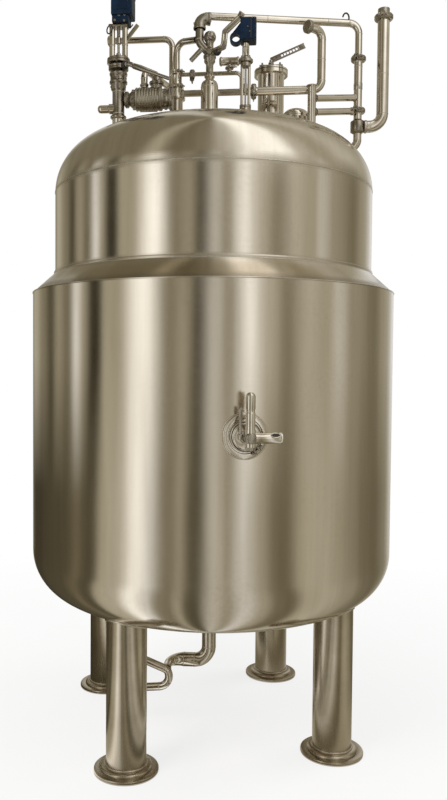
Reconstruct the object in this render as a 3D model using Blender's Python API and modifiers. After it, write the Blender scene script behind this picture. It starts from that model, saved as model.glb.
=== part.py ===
"""Jacketed stainless water storage tank on four tubular legs, with its roof valves and short pipe runs.

Metres, +Z up. The origin is on the floor, on the tank's axis. -Y is the front, with the sampling port.
"""

import math

import bmesh
import bpy
from mathutils import Matrix, Vector

# Clearance between pieces that meet
GAP = 0.0003

# Jacket: the wider cladding, its shoulder and its dished bottom
JACKET_RADIUS = 0.750
JACKET_WALL = 0.003
JACKET_LOW_Z = 0.757
JACKET_HEIGHT = 1.051
SHOULDER_RISE = 0.079
SHOULDER_RIM = 0.005
SHOULDER_COLLAR = 0.012
BOTTOM_CROWN_RADIUS = 2.000
BOTTOM_KNUCKLE_RADIUS = 0.202
SHOULDER_LOW_Z = JACKET_LOW_Z + JACKET_HEIGHT
SHOULDER_TOP_Z = SHOULDER_LOW_Z + SHOULDER_RISE

# Vessel: the upper cylinder, its dished roof and its inner bottom
SHOULDER_WIDTH = 0.090
VESSEL_RADIUS = JACKET_RADIUS - SHOULDER_WIDTH
VESSEL_WALL = 0.004
VESSEL_LIFT = 0.103
UPPER_HEIGHT = 0.338
ROOF_CROWN_RADIUS = 2.200
ROOF_KNUCKLE_RADIUS = 0.228
INNER_CROWN_RADIUS = 1.500
INNER_KNUCKLE_RADIUS = 0.180
VESSEL_LOW_Z = JACKET_LOW_Z + VESSEL_LIFT
ROOF_WELD_Z = SHOULDER_TOP_Z + UPPER_HEIGHT

# Where the roof's knuckle meets its crown, how far its crown's centre lies under the weld, and its top
ROOF_TANGENT = math.asin((VESSEL_RADIUS - ROOF_KNUCKLE_RADIUS) / (ROOF_CROWN_RADIUS - ROOF_KNUCKLE_RADIUS))
ROOF_SINK = (ROOF_CROWN_RADIUS - ROOF_KNUCKLE_RADIUS) * math.cos(ROOF_TANGENT)
ROOF_TOP_Z = ROOF_WELD_Z - ROOF_SINK + ROOF_CROWN_RADIUS

# Legs and feet
LEG_INSET = 0.175
LEG_CIRCLE_RADIUS = JACKET_RADIUS - LEG_INSET
LEG_FIRST_ANGLE = math.radians(-118.5)
LEG_RADIUS = 0.0762
LEG_WALL = 0.003
FOOT_RADIUS = 0.122
FOOT_THICKNESS = 0.014
FOOT_STEP_RADIUS = 0.098
FOOT_STEP_HEIGHT = 0.014
FOOT_PLUG_HEIGHT = 0.020

# Tubes, by outside radius
SMALL_TUBE = 0.01345
MIDDLE_TUBE = 0.01685
LARGE_TUBE = 0.02415
TUBE_WALL = 0.0020
FERRULE_RIM = 0.008
FERRULE_THICKNESS = 0.007
CLAMP_HEIGHT = 0.022
CLAMP_WALL = 0.006

# Faceting
SHELL_SIDES = 48
LEG_SIDES = 24
TURNED_SIDES = 16
SMALL_SIDES = 10
CROWN_STEPS = 4
KNUCKLE_STEPS = 5
ELBOW_STEPS = 3

# Front sampling port
PORT_ANGLE = math.radians(12.5)
PORT_RISE = 0.523
PORT_Z = JACKET_LOW_Z + PORT_RISE
PORT_FLANGE_RADIUS = 0.077
PORT_FLANGE_THICKNESS = 0.010
PORT_CLAMP_RADIUS = 0.056
PORT_CLAMP_THICKNESS = 0.024
PORT_VALVE_REACH = 0.055
PORT_VALVE_RADIUS = 0.021
PORT_STEM_RADIUS = 0.016
PORT_STEM_HEIGHT = 0.150
PORT_STEM_TAIL = 0.030
PORT_SPOUT_LENGTH = 0.105
PORT_SPOUT_RADIUS = 0.019
PORT_SPOUT_BORE = 0.015
PORT_SPOUT_BORE_DEPTH = 0.060
PORT_NUT_RADIUS = 0.018
PORT_NUT_THICKNESS = 0.014
PORT_ROD_RADIUS = 0.0070
PORT_ROD_OFFSET = 0.026
PORT_ROD_HEIGHT = 0.100

# Bottom outlet with its reducing elbow, and the drain pipe that it runs into
OUTLET_DROP = 0.229
OUTLET_RUN = 0.170
OUTLET_BEND = 0.062
OUTLET_RADIUS = 0.0302
DRAIN_FRONT = 0.125
DRAIN_TOP_REACH = 0.185
DRAIN_TOP_RISE = 0.072
DRAIN_CORNER_REACH = 0.058
DRAIN_CORNER_DROP = 0.066
DRAIN_LOW_REACH = 0.195
DRAIN_LOW_DROP = 0.090
DRAIN_BEND = 0.045

# Left valve column, over its own roof nozzle
LEFT_X = -0.370
LEFT_Y = -0.200
LEFT_NOZZLE_RISE = 0.012
LEFT_VALVE_HEIGHT = 0.222
LEFT_YOKE_HEIGHT = 0.143
LEFT_NOZZLE_TOP_Z = ROOF_TOP_Z + LEFT_NOZZLE_RISE
LEFT_VALVE_TOP_Z = LEFT_NOZZLE_TOP_Z + LEFT_VALVE_HEIGHT
LEFT_YOKE_TOP_Z = LEFT_VALVE_TOP_Z + LEFT_YOKE_HEIGHT
LEFT_PLATE_RADIUS = 0.046
YOKE_PLATE = 0.010
LEFT_POST_SPREAD = 0.026
LEFT_POST_RADIUS = 0.0115
LEFT_STEM_RADIUS = 0.0070
LEFT_ACTUATOR_WIDTH = 0.088
LEFT_ACTUATOR_SHIFT = 0.018
LEFT_ACTUATOR_DEPTH = 0.086
LEFT_ACTUATOR_HEIGHT = 0.128
LEFT_ACTUATOR_NECK = 0.068
LEFT_ACTUATOR_NECK_SHIFT = 0.012
LEFT_ACTUATOR_NECK_HEIGHT = 0.028
LEFT_CUP_RADIUS = 0.040
LEFT_CUP_DROP = 0.026
LEFT_RING_RADIUS = 0.036
LEFT_BODY_RADIUS = 0.030
LEFT_HANDLE_RADIUS = 0.0100
LEFT_HANDLE_REACH = 0.172
LEFT_HANDLE_SIDE = 0.020
LEFT_HANDLE_DROP = 0.070

# Valve block beside the left column
BLOCK_RISE = 0.070
BLOCK_LENGTH = 0.1956
BLOCK_NECK = 0.024
BLOCK_RADIUS = 0.046
BONNET_PLACE = 0.130
BLOCK_Z = LEFT_NOZZLE_TOP_Z + BLOCK_RISE
BLOCK_START_X = LEFT_X + LARGE_TUBE + GAP
BLOCK_END_X = BLOCK_START_X + BLOCK_LENGTH

# Return stack
RETURN_X = -0.1505
RETURN_Y = -0.060
RETURN_RISE = 0.241
RETURN_STACK_HEIGHT = 0.115
RETURN_TOP_Z = ROOF_TOP_Z + RETURN_RISE

# Centre nozzle with its valve, lever and small handle
CENTRE_X = -0.008
CENTRE_Y = -0.130
CENTRE_NOZZLE_RADIUS = 0.035
CENTRE_NOZZLE_RISE = 0.191
CENTRE_VALVE_HEIGHT = 0.176
CENTRE_NECK_RADIUS = 0.0150
CENTRE_BODY_RADIUS = 0.0225
CENTRE_BALL_RADIUS = 0.0250
CENTRE_BALL_RISE = 0.155
CENTRE_LEVER_RADIUS = 0.0110
CENTRE_LEVER_LOW = 0.088
CENTRE_LEVER_REACH = 0.132
CENTRE_LEVER_HEIGHT = 0.130
CENTRE_LEVER_SIDE = 0.058
CENTRE_LEVER_BEND = 0.060
CENTRE_HANDLE_RADIUS = 0.0095
CENTRE_HANDLE_REACH = 0.074
CENTRE_HANDLE_DROP = 0.040
CENTRE_NOZZLE_TOP_Z = ROOF_TOP_Z + CENTRE_NOZZLE_RISE
CENTRE_VALVE_TOP_Z = CENTRE_NOZZLE_TOP_Z + CENTRE_VALVE_HEIGHT

# Supply pipe, ending in its coupling
SUPPLY_END_X = -0.460
SUPPLY_LAND = 0.115
SUPPLY_SLANT = 0.085
SUPPLY_Y = 0.035
SUPPLY_RISE = 0.332
SUPPLY_STEP = 0.119
SUPPLY_LAND_X = BLOCK_END_X - SUPPLY_LAND
SUPPLY_TURN_X = SUPPLY_LAND_X + SUPPLY_SLANT
SUPPLY_Z = BLOCK_Z + SUPPLY_RISE
SUPPLY_LOW_Z = BLOCK_Z + SUPPLY_STEP

# Header pipe, down pipe and riser
HEADER_OFFSET = 0.042
HEADER_TUBE = 0.0145
HEADER_ELBOW_RADIUS = 0.0255
HEADER_ELBOW_REACH = 0.044
HEADER_RISE = 0.067
DOWN_INSET = 0.060
DOWN_Y = 0.0
DOWN_LOWER_RISE = 0.077
DOWN_UPPER_RISE = 0.212
SHOULDER_NOZZLE_TILT = math.radians(37)
TEE_DROP = 0.065
TEE_RADIUS = 0.029
RISER_REACH = 0.100
RISER_RISE = 0.020
RISER_END = 0.035
HEADER_START_X = CENTRE_X - HEADER_OFFSET
HEADER_Z = CENTRE_VALVE_TOP_Z + HEADER_RISE
DOWN_X = VESSEL_RADIUS - DOWN_INSET
DOWN_LOWER_JOINT_Z = ROOF_TOP_Z + DOWN_LOWER_RISE
DOWN_UPPER_JOINT_Z = DOWN_LOWER_JOINT_Z + DOWN_UPPER_RISE
TEE_Z = DOWN_LOWER_JOINT_Z - TEE_DROP
RISER_X = DOWN_X + RISER_REACH
RISER_JOINT_Z = HEADER_Z + RISER_RISE
RISER_TOP_Z = RISER_JOINT_Z + RISER_END

# The bent pipe from the return stack to the valve's branch
RETURN_PIPE_DROP = 0.027
RETURN_PIPE_FALL = 0.019
RETURN_PIPE_Z = CENTRE_VALVE_TOP_Z - RETURN_PIPE_DROP

# Vent stack with its two links to the down pipe
LINK_REACH = 0.195
LINK_STEP = 0.055
LINK_FALL = 0.034
LINK_RADIUS = 0.0135
VENT_Y = -0.110
VENT_RISE = 0.149
VENT_X = DOWN_X - LINK_REACH
VENT_TOP_Z = ROOF_TOP_Z + VENT_RISE
LINK_UPPER_Z = DOWN_LOWER_JOINT_Z + LINK_STEP

# Right column
RIGHT_X = 0.142
RIGHT_Y = -0.300
RIGHT_BASE_RISE = 0.002
RIGHT_POST_HEIGHT = 0.173
RIGHT_NECK_HEIGHT = 0.076
RIGHT_BASE_TOP_Z = ROOF_TOP_Z + RIGHT_BASE_RISE
RIGHT_PLATE_Z = RIGHT_BASE_TOP_Z + RIGHT_POST_HEIGHT
RIGHT_YOKE_TOP_Z = RIGHT_PLATE_Z + RIGHT_NECK_HEIGHT
RIGHT_PLATE_RADIUS = 0.028
RIGHT_POST_SPREAD = 0.0135
RIGHT_POST_RADIUS = 0.0060
RIGHT_ACTUATOR_WIDTH = 0.062
RIGHT_ACTUATOR_DEPTH = 0.070
RIGHT_ACTUATOR_HEIGHT = 0.084
RIGHT_ACTUATOR_SHIFT = 0.0095
RIGHT_LOBE_RADIUS = 0.023
RIGHT_LOBE_BORE = 0.0150
RIGHT_LOBE_THICKNESS = 0.030

# Cross pipe and inner loop
CROSS_Y = RETURN_Y
CROSS_DROP = 0.092
CROSS_JOINT_X = 0.170
LOOP_INSET = 0.155
LOOP_HEIGHT = 0.235
LOOP_BACK = 0.055
LOOP_SIDE = 0.045
CROSS_Z = RETURN_TOP_Z - CROSS_DROP
LOOP_X = DOWN_X - LOOP_INSET
LOOP_TOP_Z = CROSS_Z + LOOP_HEIGHT

# Hand hole
HAND_INSET = 0.3585
HAND_Y = 0.100
HAND_NECK_RADIUS = 0.056
HAND_NECK_WALL = 0.004
HAND_RIM_RADIUS = 0.072
HAND_RIM_RISE = 0.281
HAND_RIM_THICKNESS = 0.016
HAND_LID_THICKNESS = 0.018
HAND_ARM_HEIGHT = 0.020
HAND_ARM_RADIUS = 0.012
HAND_BAR_SIZE = (0.100, 0.034, 0.008)
HAND_LEVER_RADIUS = 0.0135
HAND_LEVER_REACH = 0.146
HAND_LEVER_ELBOW = 0.016
HAND_LEVER_HEIGHT = 0.076
HAND_X = DOWN_X - HAND_INSET
HAND_RIM_Z = ROOF_TOP_Z + HAND_RIM_RISE
HAND_ARM_Z = HAND_RIM_Z + HAND_LID_THICKNESS + HAND_ARM_HEIGHT

# Domed sight port beside the hand hole
SIGHT_INSET = 0.255
SIGHT_Y = -0.020
SIGHT_NECK_RADIUS = 0.045
SIGHT_RIM_RADIUS = 0.060
SIGHT_RISE = 0.042
SIGHT_RIM_THICKNESS = 0.014
SIGHT_DOME = 0.030
SIGHT_X = DOWN_X - SIGHT_INSET


def clear_scene():
    for old in list(bpy.data.objects):
        bpy.data.objects.remove(old, do_unlink=True)


def make_collection(name):
    collection = bpy.data.collections.new(name)
    bpy.context.scene.collection.children.link(collection)
    return collection


def make_material(name, colour, roughness, metallic):
    material = bpy.data.materials.new(name)
    material.use_nodes = True
    shader = material.node_tree.nodes["Principled BSDF"]
    shader.inputs["Base Color"].default_value = (*colour, 1.0)
    shader.inputs["Roughness"].default_value = roughness
    shader.inputs["Metallic"].default_value = metallic
    return material


clear_scene()
PARTS = make_collection("water_storage_tank")
CUTTERS = make_collection("cutters")
BRUSHED = make_material("brushed_steel", (0.66, 0.60, 0.51), 0.34, 1.0)
POLISHED = make_material("polished_steel", (0.68, 0.65, 0.60), 0.18, 1.0)
BLUE = make_material("blue_coating", (0.010, 0.090, 0.240), 0.45, 0.0)


def add_object(name, data, material, collection=None):
    data.materials.append(material)
    item = bpy.data.objects.new(name, data)
    (collection or PARTS).objects.link(item)
    return item


def as_cutter(item):
    item.hide_render = True
    item.display_type = "WIRE"
    for collection in list(item.users_collection):
        collection.objects.unlink(item)
    CUTTERS.objects.link(item)
    return item


def aim(item, place, direction):
    item.location = place
    item.rotation_mode = "QUATERNION"
    item.rotation_quaternion = Vector(direction).to_track_quat("Z", "Y")
    return item


def smooth(mesh, angle=40):
    mesh.shade_smooth()
    mesh.set_sharp_from_angle(angle=math.radians(angle))


def turned(name, profile, material, place=(0, 0, 0), direction=(0, 0, 1), sides=TURNED_SIDES, closed=False):
    """A profile of (radius, height) points, down the outer side, turned about its own axis."""
    mesh = bpy.data.meshes.new(name)
    points = [(radius, 0.0, height) for radius, height in profile]
    edges = [(i, i + 1) for i in range(len(points) - 1)]
    if closed:
        edges.append((len(points) - 1, 0))
    mesh.from_pydata(points, edges, [])
    item = add_object(name, mesh, material)
    screw = item.modifiers.new("turn", "SCREW")
    screw.steps = sides
    screw.render_steps = sides
    screw.use_merge_vertices = True
    screw.merge_threshold = 0.00005
    screw.use_smooth_shade = False
    return aim(item, place, direction)


def rounded_route(corners, bend):
    """The corners of a pipe's centre line, with each inner corner replaced by an arc of the bend radius."""
    corners = [Vector(corner) for corner in corners]
    route = [corners[0]]
    for before, corner, after in zip(corners, corners[1:], corners[2:]):
        inward = (before - corner).normalized()
        outward = (after - corner).normalized()
        half = inward.angle(outward) / 2
        reach = bend / math.tan(half)
        centre = corner + (inward + outward).normalized() * (bend / math.sin(half))
        start = corner + inward * reach - centre
        turn = math.pi - 2 * half
        axis = start.cross(corner + outward * reach - centre).normalized()
        for step in range(ELBOW_STEPS + 1):
            route.append(centre + Matrix.Rotation(turn * step / ELBOW_STEPS, 3, axis) @ start)
    route.append(corners[-1])
    return route


def pipe(name, corners, radius, bend, material, end_radius=None):
    """A round bar or tube along rounded corners. With an end radius its second bend tapers to it."""
    curve = bpy.data.curves.new(name, "CURVE")
    curve.dimensions = "3D"
    curve.bevel_depth = radius
    curve.bevel_resolution = 3
    curve.use_fill_caps = True
    route = rounded_route(corners, bend)
    spline = curve.splines.new("POLY")
    spline.points.add(len(route) - 1)
    for index, (point, place) in enumerate(zip(spline.points, route)):
        point.co = (*place, 1.0)
        if end_radius is not None:
            share = min(max(index - 2 - ELBOW_STEPS, 0) / ELBOW_STEPS, 1.0)
            point.radius = 1.0 + share * (end_radius / radius - 1.0)
    return add_object(name, curve, material)


def as_mesh(item):
    """Turns a curve or a modified mesh into one welded mesh object of the same name and place."""
    graph = bpy.context.evaluated_depsgraph_get()
    mesh = bpy.data.meshes.new_from_object(item.evaluated_get(graph))
    shape = bmesh.new()
    shape.from_mesh(mesh)
    bmesh.ops.remove_doubles(shape, verts=shape.verts, dist=0.00001)
    shape.to_mesh(mesh)
    shape.free()
    name = item.name
    world = item.matrix_world.copy()
    collection = item.users_collection[0]
    bpy.data.objects.remove(item, do_unlink=True)
    fresh = bpy.data.objects.new(name, mesh)
    collection.objects.link(fresh)
    fresh.matrix_world = world
    return fresh


def boolean(item, other, operation):
    modifier = item.modifiers.new(operation.lower(), "BOOLEAN")
    modifier.operation = operation
    modifier.object = other
    modifier.solver = "EXACT"


def joined(item, *others):
    """One solid from several that overlap; the others become hidden helpers."""
    base = as_mesh(item)
    for other in others:
        helper = as_cutter(as_mesh(other))
        helper.name = base.name + "_helper"
        boolean(base, helper, "UNION")
    return base


def box(name, size, place, material, bevel=0.0):
    mesh = bpy.data.meshes.new(name)
    shape = bmesh.new()
    bmesh.ops.create_cube(shape, size=1.0)
    bmesh.ops.scale(shape, vec=size, verts=shape.verts)
    shape.to_mesh(mesh)
    shape.free()
    item = add_object(name, mesh, material)
    item.location = place
    if bevel:
        modifier = item.modifiers.new("edges", "BEVEL")
        modifier.width = bevel
        modifier.segments = 2
    return item


def prism(name, outline, thickness, y, material):
    """A flat plate with a given outline of (x, z) points, upright and facing the front."""
    mesh = bpy.data.meshes.new(name)
    shape = bmesh.new()
    loops = [
        [shape.verts.new((x, y + side * thickness / 2, z)) for x, z in outline]
        for side in (-1, 1)
    ]
    shape.faces.new(loops[0])
    shape.faces.new(list(reversed(loops[1])))
    count = len(outline)
    for i in range(count):
        after = (i + 1) % count
        shape.faces.new((loops[0][i], loops[1][i], loops[1][after], loops[0][after]))
    bmesh.ops.recalc_face_normals(shape, faces=shape.faces)
    shape.to_mesh(mesh)
    shape.free()
    return add_object(name, mesh, material)


def dished(radius, crown, knuckle):
    """(radius, rise) points of a dished head, from its rim to its middle."""
    tangent = math.asin((radius - knuckle) / (crown - knuckle))
    turn = math.pi / 2 - tangent
    points = []
    for step in range(KNUCKLE_STEPS + 1):
        angle = turn * step / KNUCKLE_STEPS
        points.append((radius - knuckle + knuckle * math.cos(angle), knuckle * math.sin(angle)))
    sink = (crown - knuckle) * math.cos(tangent)
    for step in range(1, CROWN_STEPS + 1):
        angle = tangent * (1 - step / CROWN_STEPS)
        points.append((crown * math.sin(angle), crown * math.cos(angle) - sink))
    points[-1] = (0.0, crown - sink)
    return points


def head_profile(radius, crown, knuckle, grow=0.0):
    return dished(radius + grow, crown + grow, knuckle + grow)


def roof_profile(grow=0.0):
    """The roof's outer surface, in world heights, from its middle down to its rim."""
    points = head_profile(VESSEL_RADIUS, ROOF_CROWN_RADIUS, ROOF_KNUCKLE_RADIUS, grow)
    return [(radius, ROOF_WELD_Z + rise) for radius, rise in reversed(points)]


def bottom_profile(grow=0.0):
    """The jacket bottom's outer surface, from its rim down to its middle."""
    points = head_profile(JACKET_RADIUS, BOTTOM_CROWN_RADIUS, BOTTOM_KNUCKLE_RADIUS, grow)
    return [(radius, JACKET_LOW_Z - rise) for radius, rise in points]


def inner_bottom_profile(grow=0.0):
    points = head_profile(VESSEL_RADIUS, INNER_CROWN_RADIUS, INNER_KNUCKLE_RADIUS, grow)
    return [(radius, VESSEL_LOW_Z - rise) for radius, rise in points]


def roof_height(x, y):
    """Height of the roof's outer surface over a point inside the crown or the knuckle."""
    away = math.hypot(x, y)
    knuckle_centre = VESSEL_RADIUS - ROOF_KNUCKLE_RADIUS
    if away > ROOF_CROWN_RADIUS * math.sin(ROOF_TANGENT):
        return ROOF_WELD_Z + math.sqrt(ROOF_KNUCKLE_RADIUS**2 - (away - knuckle_centre) ** 2)
    return ROOF_WELD_Z - ROOF_SINK + math.sqrt(ROOF_CROWN_RADIUS**2 - away**2)


def stop_before_axis(points, radius):
    """Cuts a profile that ends on the axis short at a hole of the given radius."""
    kept = [point for point in points if point[0] > radius]
    outer = kept[-1]
    inner = points[len(kept)]
    share = (outer[0] - radius) / (outer[0] - inner[0])
    return kept + [(radius, outer[1] + (inner[1] - outer[1]) * share)]


def shell_between(outer, inner):
    """A closed profile from an outer line, down, and an inner line, back up."""
    return outer + list(reversed(inner))


def make_roof_cutter():
    low = ROOF_WELD_Z - 0.10
    profile = roof_profile(GAP) + [(VESSEL_RADIUS + GAP, low), (0.0, low)]
    return as_cutter(turned("roof_cutter", profile, BRUSHED, sides=SHELL_SIDES))


def make_bottom_cutter():
    top = JACKET_LOW_Z + 0.10
    profile = [(0.0, top), (JACKET_RADIUS + GAP, top)] + bottom_profile(GAP)
    return as_cutter(turned("bottom_cutter", profile, BRUSHED, sides=SHELL_SIDES))


def make_cladding_cutter():
    radius = JACKET_RADIUS + GAP
    profile = [(0.0, SHOULDER_LOW_Z), (radius, SHOULDER_LOW_Z), (radius, JACKET_LOW_Z), (0.0, JACKET_LOW_Z)]
    return as_cutter(turned("cladding_cutter", profile, BRUSHED, sides=SHELL_SIDES))


ROOF_CUTTER = make_roof_cutter()
BOTTOM_CUTTER = make_bottom_cutter()
CLADDING_CUTTER = make_cladding_cutter()
OUTLET_HOLE = OUTLET_RADIUS + GAP


def clear_bore(radius, sides=TURNED_SIDES):
    """Corner radius of a faceted bore whose flats keep the gap to a round of the given radius."""
    return (radius + GAP) / math.cos(math.pi / sides)


def short_of(target, origin, distance):
    """The point on the line to the target that stops the distance short of it."""
    return target + (origin - target).normalized() * distance


def build_shells():
    wall = VESSEL_WALL
    radius = VESSEL_RADIUS
    turned(
        "vessel_shell",
        [
            (radius, ROOF_WELD_Z - GAP),
            (radius, VESSEL_LOW_Z),
            (radius - wall, VESSEL_LOW_Z),
            (radius - wall, ROOF_WELD_Z - GAP),
        ],
        BRUSHED,
        sides=SHELL_SIDES,
        closed=True,
    )
    head = turned("top_head", shell_between(roof_profile(), roof_profile(-wall)), BRUSHED, sides=SHELL_SIDES)
    hole = HAND_NECK_RADIUS - HAND_NECK_WALL
    drill = post("hand_hole_cutter", HAND_X, HAND_Y, ROOF_WELD_Z, HAND_RIM_Z, hole, LEG_SIDES)
    boolean(head, as_cutter(drill), "DIFFERENCE")
    outer = [(r, z - GAP) for r, z in stop_before_axis(inner_bottom_profile(), OUTLET_HOLE)]
    inner = [(r, z - GAP) for r, z in stop_before_axis(inner_bottom_profile(-wall), OUTLET_HOLE)]
    turned("vessel_bottom_head", shell_between(outer, inner), BRUSHED, sides=SHELL_SIDES // 2, closed=True)
    wall = JACKET_WALL
    radius = JACKET_RADIUS
    turned(
        "jacket_cladding",
        [
            (radius, SHOULDER_LOW_Z - GAP),
            (radius, JACKET_LOW_Z + GAP),
            (radius - wall, JACKET_LOW_Z + GAP),
            (radius - wall, SHOULDER_LOW_Z - GAP),
        ],
        BRUSHED,
        sides=SHELL_SIDES,
        closed=True,
    )
    outer = stop_before_axis(bottom_profile(), OUTLET_HOLE)
    inner = stop_before_axis(bottom_profile(-wall), OUTLET_HOLE)
    turned("jacket_bottom_head", shell_between(outer, inner), BRUSHED, sides=SHELL_SIDES, closed=True)


def build_shoulder():
    """The cone between the cylinders, with a collar on the vessel and a rolled rim on the cladding."""
    seat = VESSEL_RADIUS + GAP
    collar = seat + SHOULDER_RIM
    rim = JACKET_RADIUS + SHOULDER_RIM / 2
    profile = [
        (seat, SHOULDER_TOP_Z + SHOULDER_COLLAR),
        (collar, SHOULDER_TOP_Z + SHOULDER_COLLAR),
        (collar, SHOULDER_TOP_Z),
        (JACKET_RADIUS - SHOULDER_RIM, SHOULDER_LOW_Z + SHOULDER_RIM),
        (rim, SHOULDER_LOW_Z + SHOULDER_RIM),
        (rim, SHOULDER_LOW_Z),
        (JACKET_RADIUS - SHOULDER_RIM, SHOULDER_LOW_Z),
        (seat, SHOULDER_TOP_Z - SHOULDER_RIM),
    ]
    turned("shoulder_cone", profile, BRUSHED, sides=SHELL_SIDES, closed=True)


def build_legs():
    names = ["front_left", "front_right", "rear_right", "rear_left"]
    foot_top = FOOT_THICKNESS + FOOT_STEP_HEIGHT
    for index, name in enumerate(names):
        angle = LEG_FIRST_ANGLE + index * math.pi / 2
        place = (LEG_CIRCLE_RADIUS * math.cos(angle), LEG_CIRCLE_RADIUS * math.sin(angle), 0.0)
        inner = LEG_RADIUS - LEG_WALL
        leg = turned(
            "leg_" + name,
            [
                (LEG_RADIUS, JACKET_LOW_Z),
                (LEG_RADIUS, foot_top + GAP),
                (inner, foot_top + GAP),
                (inner, JACKET_LOW_Z),
            ],
            BRUSHED,
            place,
            sides=LEG_SIDES,
            closed=True,
        )
        boolean(leg, BOTTOM_CUTTER, "DIFFERENCE")
        plug = inner - GAP
        turned(
            "foot_" + name,
            [
                (0.0, foot_top + FOOT_PLUG_HEIGHT),
                (plug, foot_top + FOOT_PLUG_HEIGHT),
                (plug, foot_top),
                (FOOT_STEP_RADIUS, foot_top),
                (FOOT_STEP_RADIUS, FOOT_THICKNESS),
                (FOOT_RADIUS, FOOT_THICKNESS),
                (FOOT_RADIUS, 0.0),
                (0.0, 0.0),
            ],
            BRUSHED,
            place,
            sides=LEG_SIDES,
        )


def build_port():
    """The sampling port on the cladding: pad flange, clamped cover and a small valve with its spout."""
    out = Vector((math.sin(PORT_ANGLE), -math.cos(PORT_ANGLE), 0.0))
    side = Vector((math.cos(PORT_ANGLE), math.sin(PORT_ANGLE), 0.0))
    centre = Vector((0.0, 0.0, PORT_Z))
    face = JACKET_RADIUS + PORT_FLANGE_THICKNESS
    flange = turned(
        "port_flange",
        [
            (0.0, PORT_FLANGE_THICKNESS),
            (PORT_FLANGE_RADIUS - 0.003, PORT_FLANGE_THICKNESS),
            (PORT_FLANGE_RADIUS, PORT_FLANGE_THICKNESS - 0.003),
            (PORT_FLANGE_RADIUS, -0.020),
            (0.0, -0.020),
        ],
        POLISHED,
        centre + out * JACKET_RADIUS,
        out,
        sides=LEG_SIDES,
    )
    boolean(flange, CLADDING_CUTTER, "DIFFERENCE")
    cover = PORT_CLAMP_THICKNESS
    turned(
        "port_cover",
        [
            (0.0, cover),
            (PORT_CLAMP_RADIUS * 0.80, cover),
            (PORT_CLAMP_RADIUS * 0.84, cover * 0.70),
            (PORT_CLAMP_RADIUS, cover * 0.62),
            (PORT_CLAMP_RADIUS, 0.0),
            (0.0, 0.0),
        ],
        POLISHED,
        centre + out * (face + GAP),
        out,
        sides=LEG_SIDES,
    )
    start = face + cover + 2 * GAP
    middle = centre + out * (start + PORT_VALVE_REACH)
    body = turned(
        "port_valve",
        [
            (0.0, PORT_VALVE_REACH + PORT_VALVE_RADIUS),
            (PORT_VALVE_RADIUS, PORT_VALVE_REACH + PORT_VALVE_RADIUS),
            (PORT_VALVE_RADIUS, 0.0),
            (0.0, 0.0),
        ],
        POLISHED,
        centre + out * start,
        out,
    )
    stem_top = PORT_STEM_HEIGHT
    dome = PORT_STEM_RADIUS
    stem = turned(
        "port_stem",
        [(0.0, stem_top)]
        + [
            (dome * math.sin(turn), stem_top - dome + dome * math.cos(turn))
            for turn in (math.radians(30), math.radians(60), math.radians(90))
        ]
        + [(dome, -PORT_STEM_TAIL), (0.0, -PORT_STEM_TAIL)],
        POLISHED,
        middle,
        sides=SMALL_SIDES,
    )
    long = PORT_SPOUT_LENGTH
    spout = turned(
        "port_spout",
        [(0.0, long), (PORT_SPOUT_RADIUS, long), (PORT_SPOUT_RADIUS, 0.0), (0.0, 0.0)],
        POLISHED,
        middle,
        side,
        sides=SMALL_SIDES,
    )
    nut_top = -PORT_STEM_TAIL + PORT_NUT_THICKNESS * 0.3
    nut = turned(
        "port_nut",
        [
            (0.0, nut_top),
            (PORT_NUT_RADIUS, nut_top),
            (PORT_NUT_RADIUS, nut_top - PORT_NUT_THICKNESS),
            (0.0, nut_top - PORT_NUT_THICKNESS),
        ],
        POLISHED,
        middle,
        sides=6,
    )
    rod = turned(
        "port_rod",
        [
            (0.0, PORT_ROD_HEIGHT),
            (PORT_ROD_RADIUS, PORT_ROD_HEIGHT - PORT_ROD_RADIUS),
            (PORT_ROD_RADIUS, -PORT_ROD_RADIUS),
            (0.0, -PORT_ROD_RADIUS),
        ],
        POLISHED,
        centre + out * (start + PORT_VALVE_RADIUS) - side * PORT_ROD_OFFSET,
        sides=SMALL_SIDES,
    )
    hinge = turned(
        "port_hinge",
        [
            (0.0, PORT_ROD_OFFSET),
            (PORT_ROD_RADIUS * 1.3, PORT_ROD_OFFSET),
            (PORT_ROD_RADIUS * 1.3, 0.0),
            (0.0, 0.0),
        ],
        POLISHED,
        centre + out * (start + PORT_VALVE_RADIUS),
        -side,
        sides=SMALL_SIDES,
    )
    valve = joined(body, stem, spout, nut, hinge, rod)
    bore = turned(
        "port_bore",
        [
            (0.0, long + 0.01),
            (PORT_SPOUT_BORE, long + 0.01),
            (PORT_SPOUT_BORE, long - PORT_SPOUT_BORE_DEPTH),
            (0.0, long - PORT_SPOUT_BORE_DEPTH),
        ],
        POLISHED,
        middle,
        side,
        sides=SMALL_SIDES,
    )
    boolean(valve, as_cutter(bore), "DIFFERENCE")


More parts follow.
